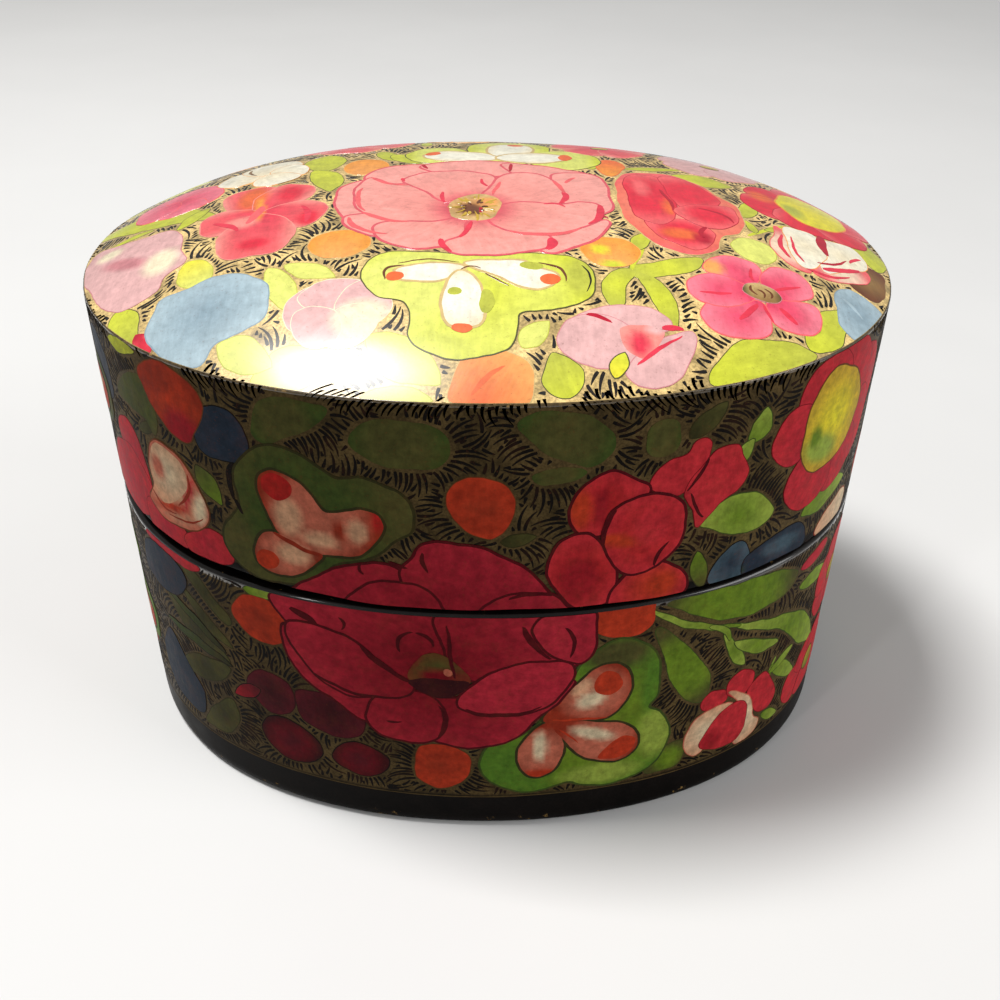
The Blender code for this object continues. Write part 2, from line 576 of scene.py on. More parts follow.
class Oval:
    """Outer outline of the box, walked by arc length from the middle of its front."""

    FULLNESS = 0.014
    SAMPLES = 1440

    def __init__(self, half_long: float, half_short: float) -> None:
        """Sample the outline once.

        Args:
            half_long: half of the long axis, in millimetres.
            half_short: half of the short axis, in millimetres.
        """
        self.half_long = half_long
        self.half_short = half_short
        self.angles = np.linspace(-math.pi / 2 - math.pi, -math.pi / 2 + math.pi, self.SAMPLES + 1)
        points = self.by_angle(self.angles)
        distance = walked(points)
        self.length = float(distance[-1])
        self.walk = distance - np.interp(-math.pi / 2, self.angles, distance)
        polar = np.arctan2(points[:-1, 1], points[:-1, 0])
        order = np.argsort(polar)
        self.polar = polar[order]
        self.radii = np.hypot(points[:-1, 0], points[:-1, 1])[order]

    def by_angle(self, angle: np.ndarray) -> np.ndarray:
        """Return outline points at the drawing angle.

        Args:
            angle: drawing angles, in radians.

        Returns:
            Points in millimetres, one row an angle.
        """
        full = self.FULLNESS
        x = (1 + full) * np.cos(angle) - full * np.cos(3 * angle)
        y = (1 + full) * np.sin(angle) + full * np.sin(3 * angle)
        return np.stack([x * self.half_long, y * self.half_short], axis=-1)

    def angle_at(self, walk: np.ndarray) -> np.ndarray:
        """Return the drawing angle at a walk along the outline."""
        wrapped = (np.asarray(walk) + self.length / 2) % self.length - self.length / 2
        return np.interp(wrapped, self.walk, self.angles)

    def at(self, walk: np.ndarray) -> np.ndarray:
        """Return outline points at a walk along the outline."""
        return self.by_angle(self.angle_at(walk))

    def outward(self, walk: np.ndarray) -> np.ndarray:
        """Return outward unit normals at a walk along the outline.

        Args:
            walk: distances from the middle of the front, in millimetres.

        Returns:
            A vector for each distance.
        """
        angle = self.angle_at(walk)
        full = self.FULLNESS
        x_rate = -(1 + full) * np.sin(angle) + 3 * full * np.sin(3 * angle)
        y_rate = (1 + full) * np.cos(angle) + 3 * full * np.cos(3 * angle)
        normal = np.stack([y_rate * self.half_short, -x_rate * self.half_long], axis=-1)
        return normal / np.linalg.norm(normal, axis=-1, keepdims=True)

    def share(self, spot: np.ndarray) -> np.ndarray:
        """Return how far out each point lies, from 0 in the middle to 1 on the outline.

        Args:
            spot: points in millimetres, seen from above.

        Returns:
            A share for each point.
        """
        polar = np.arctan2(spot[..., 1], spot[..., 0])
        radius = np.interp(polar, self.polar, self.radii, period=2 * math.pi)
        return np.hypot(spot[..., 0], spot[..., 1]) / radius


def unsteady(plan: np.ndarray) -> np.ndarray:
    """Shift points on a plan a little, as an unsteady brush would.

    Args:
        plan: points on the plan, one row a point.

    Returns:
        The shifted points.
    """
    x, y = plan[:, 0], plan[:, 1]
    across = 0.10 * np.sin(1.1 * y + 0.5 * x) + 0.025 * np.sin(3.4 * y - 1.9 * x + 1.0)
    upward = 0.10 * np.sin(1.2 * x - 0.4 * y + 2.0) + 0.025 * np.sin(3.7 * x + 1.5 * y)
    return plan + np.stack([across, upward], axis=1)


def hand_wobble(spots: np.ndarray) -> np.ndarray:
    """Return the small unevenness of the hand-made skin, in millimetres.

    Args:
        spots: points in space, in millimetres.

    Returns:
        How far each point stands out.
    """
    x, y, z = spots[..., 0], spots[..., 1], spots[..., 2]
    swell = np.sin(0.115 * x + 0.9) * np.cos(0.13 * y - 0.4)
    ripple = np.sin(0.31 * x - 0.22 * y + 0.35 * z) * np.cos(0.27 * y + 0.19 * z + 1.1)
    return 0.07 * swell + 0.035 * ripple


def lid_warp(walk: np.ndarray) -> np.ndarray:
    """Return how much the lid's lower edge stands up at a walk round the box, in millimetres."""
    lifted = 1.25 * np.exp(-((walk + 52.0) / 27.0) ** 2)
    return lifted + 0.10 * np.sin(walk * 0.21 + 0.5) + 0.06 * np.sin(walk * 0.57)


class Chart:
    """A flat plan in millimetres and the painted surface that it stands for."""

    lows: np.ndarray
    highs: np.ndarray

    def place(self, plan: np.ndarray, lift: float = 0.0) -> np.ndarray:
        """Return points in space for points on the plan, lifted off the ground coat."""
        raise NotImplementedError

    def clamp(self, plan: np.ndarray) -> np.ndarray:
        """Return the plan points moved back inside the decorated field."""
        raise NotImplementedError

    def beyond(self, line: np.ndarray, near: np.ndarray) -> np.ndarray:
        """Push points on the field's edge out past it, on the side of a point outside."""
        raise NotImplementedError

    def trim(self, loop: np.ndarray) -> np.ndarray:
        """Cut a loop at the edge of the decorated field and follow the edge between the cuts.

        Args:
            loop: outline on the plan, anticlockwise.

        Returns:
            The part of the outline inside the field, which has no points if all is outside.
        """
        within = self.field(loop)
        if within.all():
            return loop
        if not within.any():
            return loop[:0]
        first = int(np.flatnonzero(within & ~np.roll(within, 1))[0])
        loop, within = np.roll(loop, -first, axis=0), np.roll(within, -first)
        kept: list[np.ndarray] = []
        for drawn, members in groupby(range(len(loop)), lambda order: within[order]):
            run = loop[list(members)]
            if not drawn:
                leave, enter = self.clamp(run[[0, -1]])
                count = max(2, int(np.hypot(*(enter - leave)) / EDGE_PITCH) + 1)
                line = leave + (enter - leave) * np.linspace(0.0, 1.0, count)[:, None]
                run = self.clamp(self.beyond(line, run[0]))
            kept.append(run)
        line = np.vstack(kept)
        return line[np.hypot(*(line - np.roll(line, 1, axis=0)).T) > 0.06]

    def normals(self, plan: np.ndarray) -> np.ndarray:
        """Return outward unit normals of the surface at points on the plan.

        Args:
            plan: points on the plan, one row a point.

        Returns:
            A vector for each point.
        """
        step = 0.05
        across = self.place(plan + (step, 0.0)) - self.place(plan - (step, 0.0))
        upward = self.place(plan + (0.0, step)) - self.place(plan - (0.0, step))
        normal = np.cross(across, upward)
        return normal / np.linalg.norm(normal, axis=-1, keepdims=True)

    def field(self, plan: np.ndarray) -> np.ndarray:
        """Say which plan points lie inside the decorated field."""
        return np.hypot(*(self.clamp(plan) - plan).T) < 1e-6


class CrownChart(Chart):
    """Plan of the domed crown, seen from above."""

    POWER = 3.4

    def __init__(self, oval: Oval, arris: float, top: float) -> None:
        """Keep the outline and the two levels of the crown, in millimetres.

        Args:
            oval: outline of the box.
            arris: level of the crown's edge.
            top: level of its highest point.
        """
        self.oval, self.arris, self.rise = oval, arris, top - arris
        self.highs = np.array([oval.half_long, oval.half_short])
        self.lows = -self.highs

    def place(self, plan: np.ndarray, lift: float = 0.0) -> np.ndarray:
        """Return points of the crown, lifted off the ground coat.

        Args:
            plan: points on the plan, one row a point.
            lift: height above the ground coat, in millimetres.

        Returns:
            Points in space, one row a point.
        """
        share = np.minimum(self.oval.share(plan), 1.02)
        level = self.arris + self.rise * (1 - share ** self.POWER)
        flat = np.concatenate([plan, level[..., None]], axis=-1)
        steep = self.rise * self.POWER * share ** (self.POWER - 1)
        ring = plan / np.maximum(share, 1e-6)[..., None]
        gradient = plan / np.array([self.oval.half_long ** 2, self.oval.half_short ** 2])
        gradient = gradient / np.maximum(np.linalg.norm(gradient, axis=-1, keepdims=True), 1e-9)
        pace = np.abs(np.sum(ring * gradient, axis=-1))
        normal = np.concatenate([gradient * (steep / np.maximum(pace, 1e-6))[..., None],
                                 np.ones_like(level)[..., None]], axis=-1)
        normal /= np.linalg.norm(normal, axis=-1, keepdims=True)
        return flat + normal * (lift - SKIN_INSET + hand_wobble(flat))[..., None]

    def clamp(self, plan: np.ndarray) -> np.ndarray:
        """Draw points past the arris back to just inside it."""
        back = np.minimum(1.0, CROWN_REACH / np.maximum(self.oval.share(plan), 1e-9))
        return plan * back[..., None]

    def beyond(self, line: np.ndarray, near: np.ndarray) -> np.ndarray:
        """Push points out past the arris."""
        return line * 1.3


class WallChart(Chart):
    """Plan of an upright wall: the walk round the box and the height above the table."""

    def __init__(self, oval: Oval, low: float, high: float, tilted: bool = False) -> None:
        """Keep the outline and the levels between which the wall is painted.

        Args:
            oval: outline of the box.
            low: lowest painted level, in millimetres.
            high: highest painted level, in millimetres.
            tilted: whether the lower edge follows the lid's uneven rim.
        """
        self.oval, self.low, self.high, self.tilted = oval, low, high, tilted
        self.limit = oval.length / 2 - WRAP_MARGIN
        self.lows = np.array([-oval.length / 2, low])
        self.highs = np.array([oval.length / 2, high])

    def place(self, plan: np.ndarray, lift: float = 0.0) -> np.ndarray:
        """Return points of the wall, lifted off the ground coat.

        Args:
            plan: points on the plan, one row a point.
            lift: height above the ground coat, in millimetres.

        Returns:
            Points in space, one row a point.
        """
        flat = np.concatenate([self.oval.at(plan[..., 0]), plan[..., 1:2]], axis=-1)
        outward = self.oval.outward(plan[..., 0])
        normal = np.concatenate([outward, np.zeros_like(flat[..., :1])], axis=-1)
        return flat + normal * (lift - SKIN_INSET + hand_wobble(flat))[..., None]

    def clamp(self, plan: np.ndarray) -> np.ndarray:
        """Draw points past an edge of the wall back to just inside it.

        Args:
            plan: points on the plan, one row a point.

        Returns:
            The points, with those outside moved.
        """
        walk, level = plan[..., 0], plan[..., 1]
        floor = self.low + (lid_warp(walk) if self.tilted else np.zeros_like(walk))
        return np.stack([np.clip(walk, -self.limit, self.limit), np.clip(level, floor, self.high)], axis=-1)

    def beyond(self, line: np.ndarray, near: np.ndarray) -> np.ndarray:
        """Push points past the upper or the lower edge.

        Args:
            line: points on the field's edge.
            near: a point outside, which tells the side.

        Returns:
            The points pushed out.
        """
        if abs(near[0]) > self.limit:
            return line
        return line + (0.0, 3.0 if near[1] > self.high else -3.0)


def add_object(name: str, data: bpy.types.ID) -> bpy.types.Object:
    """Make an object and link it to the scene.

    Args:
        name: name of the object.
        data: its mesh, lamp or camera.

    Returns:
        The new object.
    """
    item = bpy.data.objects.new(name, data)
    bpy.context.scene.collection.objects.link(item)
    return item


def add_mesh(name: str, spots: Sequence[np.ndarray], faces: Sequence[Sequence[int]],
             finish: bpy.types.Material, layers: dict[str, np.ndarray]) -> bpy.types.Object:
    """Make a smooth mesh object.

    Args:
        name: name of the object and its mesh.
        spots: points in millimetres, in one array or more.
        faces: corners of each face.
        finish: material of the whole piece.
        layers: named rows of one, three or four numbers, a row for each point.

    Returns:
        The new object, linked to the scene.
    """
    mesh = bpy.data.meshes.new(name)
    mesh.from_pydata((np.vstack(spots) * MM).tolist(), [], faces)
    for title, rows in layers.items():
        kind, part = LAYER_KINDS[1 if rows.ndim == 1 else rows.shape[1]]
        mesh.attributes.new(title, kind, "POINT").data.foreach_set(part, rows.ravel())
    mesh.materials.append(finish)
    mesh.shade_smooth()
    return add_object(name, mesh)


def settle(piece: bpy.types.Object, body: Body, note: str) -> None:
    """Let a piece ride on its body and log it.

    Args:
        piece: the object.
        body: the body that carries it.
        note: what the log says of it.
    """
    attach(piece, body.value)
    LOG.info("%s: %s", piece.name, note)


@dataclass
class PlateStock:
    """Gathers thin closed bodies of paint into one mesh."""

    spots: list[np.ndarray] = field(default_factory=list)
    looks: list[np.ndarray] = field(default_factory=list)
    faces: list[tuple[int, ...]] = field(default_factory=list)
    count: int = 0

    def add(self, high: np.ndarray, low: np.ndarray, looks: Sequence[np.ndarray],
            faces: Sequence[Sequence[int]]) -> None:
        """Add one closed plate.

        Args:
            high: points of its top.
            low: the same points below the ground.
            looks: normal, colours and brush run of each point.
            faces: faces of the top, anticlockwise, counted from its first point.
        """
        total = len(high)
        sides = {side for face in faces for side in zip(face, (*face[1:], face[0]))}
        shell = [*faces, *(tuple(total + corner for corner in reversed(face)) for face in faces)]
        shell += [(a, total + a, total + b, b) for a, b in sorted(sides) if (b, a) not in sides]
        self.faces += [tuple(self.count + corner for corner in face) for face in shell]
        self.spots += [high, low]
        self.looks += [np.hstack(looks)] * 2
        self.count += 2 * total

    def build(self, name: str, finish: bpy.types.Material) -> bpy.types.Object:
        """Make the object from all plates.

        Args:
            name: name of the piece.
            finish: its material.

        Returns:
            The new object, with the normals of the painted surface.
        """
        normal, pigment, dab, brush = np.hsplit(np.vstack(self.looks), (3, 6, 9))
        solid = np.ones((len(normal), 1))
        piece = add_mesh(name, self.spots, self.faces, finish, {
            "pigment": np.hstack([pigment, solid]), "dab": np.hstack([dab, solid]), "brush": brush})
        piece.data.normals_split_custom_set_from_vertices(normal.tolist())
        return piece


class Stack:
    """How many coats already lie on each small cell of a chart."""

    def __init__(self, chart: Chart, cell: float) -> None:
        """Lay the cells over the chart's plan.

        Args:
            chart: the chart whose plan is covered.
            cell: width of a cell, in millimetres.
        """
        self.lows = chart.lows - 3 * cell
        self.cell = cell
        self.coats = np.zeros(np.ceil((chart.highs - self.lows) / cell).astype(int) + 4, dtype=int)

    def cells(self, points: np.ndarray) -> tuple[np.ndarray, np.ndarray]:
        """Return the cell of each point.

        Args:
            points: places on the plan, one row a point.

        Returns:
            The cell's number across and its number upward, for each point.
        """
        spots = np.floor((points - self.lows) / self.cell).astype(int)
        spots = np.clip(spots, 1, np.array(self.coats.shape) - 2)
        return spots[:, 0], spots[:, 1]

    def covered(self, points: np.ndarray) -> bool:
        """Say whether a coat lies on any of the points."""
        return bool(self.coats[self.cells(points)].any())

    def cover(self, points: np.ndarray) -> None:
        """Mark the cells of the points as covered."""
        self.coats[self.cells(points)] = 1

    def next_coat(self, points: np.ndarray) -> int:
        """Return the number of the coat that goes on top at some points, and count it.

        Args:
            points: places on the plan, one row a point.

        Returns:
            The number, 1 for the first coat.
        """
        across, up = self.cells(points)
        around = product((-1, 0, 1), repeat=2)
        highest = max(int(self.coats[across + side, up + rise].max()) for side, rise in around)
        self.coats[across, up] = highest + 1
        return highest + 1


@dataclass
class Canvas:
    """One painted surface of the box: its chart, its body and the coats that it carries.

    The title is the word that the names of its pieces start with.
    """

    title: str
    chart: Chart
    body: Body
    slot: Slot
    finish: bpy.types.Material
    pen: PlateStock = field(default_factory=PlateStock)
    edges: list[np.ndarray] = field(default_factory=list)

    def __post_init__(self) -> None:
        """Start with bare ground."""
        self.stack = Stack(self.chart, STACK_CELL)
        self.filled = Stack(self.chart, PEN_CELL)

    def field_points(self, loops: Sequence[np.ndarray]) -> np.ndarray:
        """Return evenly spread points inside at least one loop and clear of all of them.

        Args:
            loops: outlines on the plan.

        Returns:
            The points, one row a point.
        """
        low = np.min([loop.min(axis=0) for loop in loops], axis=0)
        high = np.max([loop.max(axis=0) for loop in loops], axis=0)
        grid = grid_over(low + FIELD_PITCH / 2, high, FIELD_PITCH)
        grid = grid[np.any([inside(grid, loop) for loop in loops], axis=0)]
        for loop in loops:
            if len(grid):
                gaps = np.hypot(grid[:, None, 0] - loop[None, :, 0], grid[:, None, 1] - loop[None, :, 1])
                grid = grid[gaps.min(axis=1) > FIELD_MARGIN]
        return grid

    def slab(self, stock: PlateStock, loops: Sequence[np.ndarray], paint: Wash | Paint, shape: Shape) -> None:
        """Lay one closed thin body of paint over the ground inside one loop or several.

        Args:
            stock: mesh that receives the body.
            loops: outlines on the plan, anticlockwise; where they overlap they count as one.
            paint: a wash for a filled shape, or one colour for a line or a contour.
            shape: the shape whose tones and brush run the colour follows.
        """
        rims = [self.chart.trim(unsteady(loop)) for loop in loops]
        rims = [rim for rim in rims if len(rim) > 5 and signed_area(rim) > 0.05]
        if not rims:
            return
        corners = np.vstack(rims + [self.field_points(rims)])
        ends = np.cumsum([len(rim) for rim in rims]).tolist()
        rings = [list(range(first, last)) for first, last in zip([0] + ends, ends)]
        edges = [side for ring in rings for side in zip(ring, ring[1:] + ring[:1])]
        result = delaunay_2d_cdt([Vector(corner) for corner in corners], edges, rings, 1, 1e-5)
        points = np.array([tuple(corner) for corner in result[0]])
        if not result[2]:
            return
        if isinstance(paint, Wash):
            colours = paint.colours(points, *shape.tones(points))
        else:
            colours = np.tile(paint.value.linear(), (len(points), 2))
        seed = np.full((len(points), 1), fresh_phase(tuple(rims[0][0])) * 11.0)
        lift = FIRST_COAT + COAT_STEP * self.stack.next_coat(points)
        stock.add(self.chart.place(points, lift), self.chart.place(points, -SKIRT_DEPTH),
                  [self.chart.normals(points), colours, shape.brush(points), seed], result[2])

    def paint(self, motif: Motif) -> None:
        """Paint one motif as a piece of its own, its shapes in painter's order.

        Args:
            motif: the motif, whose piece takes its name.
        """
        stock = PlateStock()
        for wash, members in groupby(motif.shapes, lambda shape: shape.wash):
            group = [(shape, shape.outline()) for shape in members]
            if wash.joined:
                self.slab(stock, [grown(loop, wash.line_width) for _, loop in group], wash.line, group[0][0])
            for shape, loop in group:
                if wash.line_width and not wash.joined:
                    self.slab(stock, [grown(loop, wash.line_width)], wash.line, shape)
                self.slab(stock, [loop], wash, shape)
                self.block(grown(loop, motif.margin))
                if not isinstance(shape, Stroke):
                    self.edges.append(grown(loop, motif.margin + 0.12))
        piece = stock.build(f"{self.title}_{motif.name}", self.finish)
        settle(piece, self.body, f"{len(motif.shapes)} shapes, {len(stock.faces)} faces")

    def block(self, loop: np.ndarray) -> None:
        """Mark the plan inside a loop as covered, so that no pen stroke crosses it.

        Args:
            loop: outline on the plan.
        """
        step = PEN_CELL / 2
        grid = grid_over(loop.min(axis=0), loop.max(axis=0) + step, step)
        self.filled.cover(grid[inside(grid, loop)])

    def scattered_leaves(self, greens: Sequence[Wash], dice: np.random.Generator, longest: float,
                         keep_out: Plan | None) -> tuple[Shape, ...]:
        """Find room for small leaves in the gaps between the flowers.

        Args:
            greens: washes to choose from.
            dice: source of places and sizes.
            longest: length of the longest leaf, in millimetres.
            keep_out: first and last walk of a stretch that is left alone, if any.

        Returns:
            The leaves.
        """
        shapes: list[Shape] = []
        for spot in dice.uniform(self.chart.lows, self.chart.highs, size=(LEAF_TRIES, 2)):
            length = dice.uniform(0.55, 1.0) * longest
            heading = dice.uniform(0.0, 2 * math.pi)
            wash = greens[int(dice.integers(len(greens)))]
            bend = dice.uniform(-0.1, 0.1)
            if keep_out is not None and keep_out[0] < spot[0] < keep_out[1]:
                continue
            way = np.array([math.cos(heading), math.sin(heading)]) * length / 2
            made = leaf(tuple(spot - way), tuple(spot + way), length * 0.42, wash, bend)
            loop = grown(made.outline(), 0.45)
            middle = np.linspace(spot - way, spot + way, 12)
            if self.chart.field(loop).all() and not self.filled.covered(np.vstack([loop, middle])):
                self.block(made.outline())
                shapes.append(made)
        return tuple(shapes)

    def dress(self, motifs: Sequence[Motif], greens: Sequence[Wash], seed: int, keep_out: Plan | None = None,
              lengths: Sequence[float] = (10.5, 6.5)) -> None:
        """Paint the surface: its motifs and then leaves of the given lengths between them.

        Args:
            motifs: the motifs, in painter's order.
            greens: washes of the leaves.
            seed: seed of the leaves' places and sizes.
            keep_out: first and last walk of a stretch without such leaves, if any.
            lengths: longest leaf of each round, in millimetres.
        """
        for motif in motifs:
            self.paint(motif)
        dice = np.random.default_rng(seed)
        for longest in lengths:
            shapes = self.scattered_leaves(greens, dice, longest, keep_out)
            if shapes:
                self.paint(Motif("leaves" if longest > 8.0 else "small_leaves", shapes))


@dataclass
class PenWork:
    """Combs of short curved black strokes that fill the gilt ground between the motifs.

    Lengths are in millimetres, and the curl is in radians a millimetre.
    """

    canvas: Canvas
    pitch: float
    width: float
    longest: float
    shortest: float = 0.55
    lean: float = 0.35
    pace: float = 0.15
    curl: float = 0.24
    stations: int = 6
    lines: list[np.ndarray] = field(default_factory=list)
    lay: dict[tuple[int, int], float] = field(default_factory=dict)

    def free(self, spot: np.ndarray) -> bool:
        """Say whether a spot is bare ground inside the field."""
        row = spot[None, :]
        return not self.canvas.filled.covered(row) and bool(self.canvas.chart.field(row)[0])

    def grow(self, start: np.ndarray, heading: float, curl: float, longest: float) -> np.ndarray | None:
        """Grow one stroke until it meets something.

        Args:
            start: first point on the plan.
            heading: first direction, in radians.
            curl: turn a millimetre, in radians.
            longest: longest run, in millimetres.

        Returns:
            Points of the stroke, or None where it would be too short.
        """
        line = [start]
        run = 0.0
        while run < longest:
            ahead = np.array([math.cos(heading), math.sin(heading)])
            if not self.free(line[-1] + ahead * (self.pace + 0.1)):
                break
            line.append(line[-1] + ahead * self.pace)
            heading += curl * self.pace
            run += self.pace
        return np.array(line) if run >= self.shortest else None

    def keep(self, line: np.ndarray | None) -> None:
        """Keep a stroke, if there is one, and cover the ground beside it.

        Args:
            line: points of the stroke, or None.
        """
        if line is None:
            return
        self.lines.append(line)
        side = leftward(line)
        filled = self.canvas.filled
        for offset in np.linspace(-0.5, 0.5, 5) * (self.pitch - 0.3):
            filled.cover(line + side * offset)
        headings = np.arctan2(-side[:, 0], side[:, 1])
        for offset in np.linspace(-2.0, 2.0, 9) * self.pitch:
            for cell, heading in zip(zip(*filled.cells(line + side * offset)), headings):
                self.lay[cell] = heading

    def comb_edges(self, dice: np.random.Generator) -> None:
        """Grow a comb of strokes outward from each motif's contour.

        Args:
            dice: source of the strokes' unevenness.
        """
        for loop in self.canvas.edges:
            closed = np.vstack([loop, loop[:1]])
            walk = walked(closed)
            outward = loop_normals(loop)
            marks = np.arange(0.0, walk[-1], self.pitch)
            spots = at_marks(marks, walk, closed)
            aims = at_marks(marks, walk, np.vstack([outward, outward[:1]]))
            hand = 1.0 if dice.random() < 0.5 else -1.0
            for mark, spot, aim in zip(marks, spots, aims):
                lean = hand * (self.lean + 0.25 * math.sin(mark * 0.6))
                heading = math.atan2(aim[1], aim[0]) + lean + dice.normal(0.0, 0.06)
                if self.free(spot):
                    longest = self.longest * dice.uniform(0.6, 1.0)
                    self.keep(self.grow(spot, heading, -hand * self.curl * dice.uniform(0.8, 1.3), longest))

    def fill_rest(self, dice: np.random.Generator) -> None:
        """Drop strokes on what ground is left, each laid like its neighbours.

        Args:
            dice: source of places and unevenness.
        """
        chart = self.canvas.chart
        for spot in dice.uniform(chart.lows, chart.highs, size=(STROKE_TRIES, 2)):
            if not self.free(spot):
                continue
            swing = math.sin(spot[0] * 0.19 + 1.0) + math.cos(spot[1] * 0.23 + spot[0] * 0.07)
            across, up = self.canvas.filled.cells(spot[None, :])
            heading = self.lay.get((across[0], up[0]), swing * 1.4) + dice.normal(0.0, 0.08)
            back = self.grow(spot, heading + math.pi, -self.curl, 0.9)
            start = spot if back is None else back[-1]
            self.keep(self.grow(start, heading, self.curl, self.longest * 0.8))

    def build(self, seed: int) -> None:
        """Draw every stroke of the canvas and make the piece, with what its pen has drawn before.

        Args:
            seed: seed of the strokes.
        """
        dice = np.random.default_rng(seed)
        self.comb_edges(dice)
        self.fill_rest(dice)
        canvas, count = self.canvas, self.stations
        run = np.linspace(0.0, 1.0, count)
        taper = self.width / 2 * np.clip(1.05 - run, 0.0, 1.0) ** 0.55
        taper[0] *= 0.7
        faces = [(row, row + 1, row + 1 + count, row + count) for row in range(count - 1)]
        colour = np.tile(Paint.INK.value.linear(), (2 * count, 2))
        for order, line in enumerate(self.lines):
            steps = walked(line)
            middle = at_marks(run * steps[-1], steps, line)
            side = leftward(middle) * taper[:, None]
            plan = np.vstack([middle - side, middle + side])
            looks = [canvas.chart.normals(plan), colour, plan, np.full((2 * count, 1), order * 0.37)]
            canvas.pen.add(canvas.chart.place(plan, FIRST_COAT + COAT_STEP),
                           canvas.chart.place(plan, -SKIRT_DEPTH), looks, faces)
        piece = canvas.pen.build(f"{canvas.title}_pen_work", canvas.finish)
        settle(piece, canvas.body, f"{len(self.lines)} strokes, {len(canvas.pen.faces)} faces")


@dataclass(frozen=True)
class Varnish:
    """Clear lacquer over a finish."""

    coat: float
    coat_roughness: float
    specular: float


CROWN_VARNISH = Varnish(coat=1.0, coat_roughness=0.25, specular=0.2)
LACQUER_VARNISH = Varnish(coat=1.0, coat_roughness=0.12, specular=0.15)
WALL_VARNISH = Varnish(coat=0.035, coat_roughness=0.22, specular=0.02)
INSIDE_VARNISH = Varnish(coat=0.10, coat_roughness=0.45, specular=0.1)
BARE = Varnish(coat=0.0, coat_roughness=0.1, specular=0.1)

Socket = bpy.types.NodeSocket


class Graph:
    """Short-hand for wiring the nodes of one material."""

    def __init__(self, name: str, varnish: Varnish) -> None:
        """Start a material whose shader has the varnish set on its own sockets.

        Args:
            name: name of the material.
            varnish: the lacquer over it.
        """
        self.material = bpy.data.materials.new(name)
        self.material.use_nodes = True
        self.tree = self.material.node_tree
        self.shader = self.tree.nodes["Principled BSDF"]
        self.plug(self.shader, {"Coat Weight": varnish.coat, "Coat Roughness": varnish.coat_roughness,
                                "Specular IOR Level": varnish.specular})

    def plug(self, node: bpy.types.Node, sources: dict[str | int, object]) -> None:
        """Wire sources into a node's sockets, or set the sockets to plain values.

        Args:
            node: the node.
            sources: sources or plain values of its sockets, by name or number.
        """
        for place, source in sources.items():
            if isinstance(source, Socket):
                self.tree.links.new(source, node.inputs[place])
            else:
                node.inputs[place].default_value = source

    def node(self, kind: str, out: str | int, sources: dict[str | int, object] | None = None,
             **options: str) -> Socket:
        """Add a node.

        Args:
            kind: end of Blender's name of the node type.
            out: name or number of the output that is wanted.
            sources: sources or plain values of its sockets, by name or number.
            options: the node's own options.

        Returns:
            The output socket.
        """
        made = self.tree.nodes.new("ShaderNode" + kind)
        for option, choice in options.items():
            setattr(made, option, choice)
        self.plug(made, sources or {})
        return made.outputs[out]

    def attribute(self, name: str, out: str) -> Socket:
        """Return a value stored on the mesh."""
        return self.node("Attribute", out, attribute_name=name)

    def place(self) -> Socket:
        """Return the place on the object, in metres."""
        return self.node("TexCoord", "Object")

    def noise(self, where: Socket, scale: float, detail: float = 3.0, roughness: float = 0.55) -> Socket:
        """Return fractal noise, about 0.5 in the mean."""
        return self.node("TexNoise", "Fac", {"Scale": scale, "Detail": detail, "Roughness": roughness,
                                             "Vector": where})

    def span(self, source: Socket, low: float, high: float, bottom: float = 0.0, top: float = 1.0) -> Socket:
        """Return a value mapped from low..high to bottom..top and clamped."""
        return self.node("MapRange", "Result", {"From Min": low, "From Max": high, "To Min": bottom,
                                                "To Max": top, "Value": source})

    def sum(self, kind: str, first: Socket | float, second: Socket | float) -> Socket:
        """Return a sum, product or the like of two values."""
        return self.node("Math", "Value", {0: first, 1: second}, operation=kind)

    def blend(self, share: Socket | float, under: object, over: object, kind: str = "MIX") -> Socket:
        """Return one colour laid over another."""
        return self.node("Mix", 2, {0: share, 6: under, 7: over}, data_type="RGBA", blend_type=kind)

    def relief(self, height: Socket, distance: float, coat: bool = True) -> None:
        """Raise the surface by a height, under the coat or through it.

        Args:
            height: the height, from 0 to 1.
            distance: how far 1 stands up, in metres.
            coat: True where the coat follows the relief.
        """
        bump = self.node("Bump", "Normal", {"Strength": 0.5, "Distance": distance, "Height": height})
        self.plug(self.shader, {"Normal": bump, "Coat Normal": bump} if coat else {"Normal": bump})

    def finish(self, colour: Socket, roughness: Socket) -> bpy.types.Material:
        """Wire the colour and the roughness, and return the material."""
        self.plug(self.shader, {"Base Color": colour, "Roughness": roughness})
        return self.material


def opaque(paint: Paint) -> tuple[float, ...]:
    """Return a pot's colour as an opaque socket value."""
    return (*paint.value.linear().tolist(), 1.0)


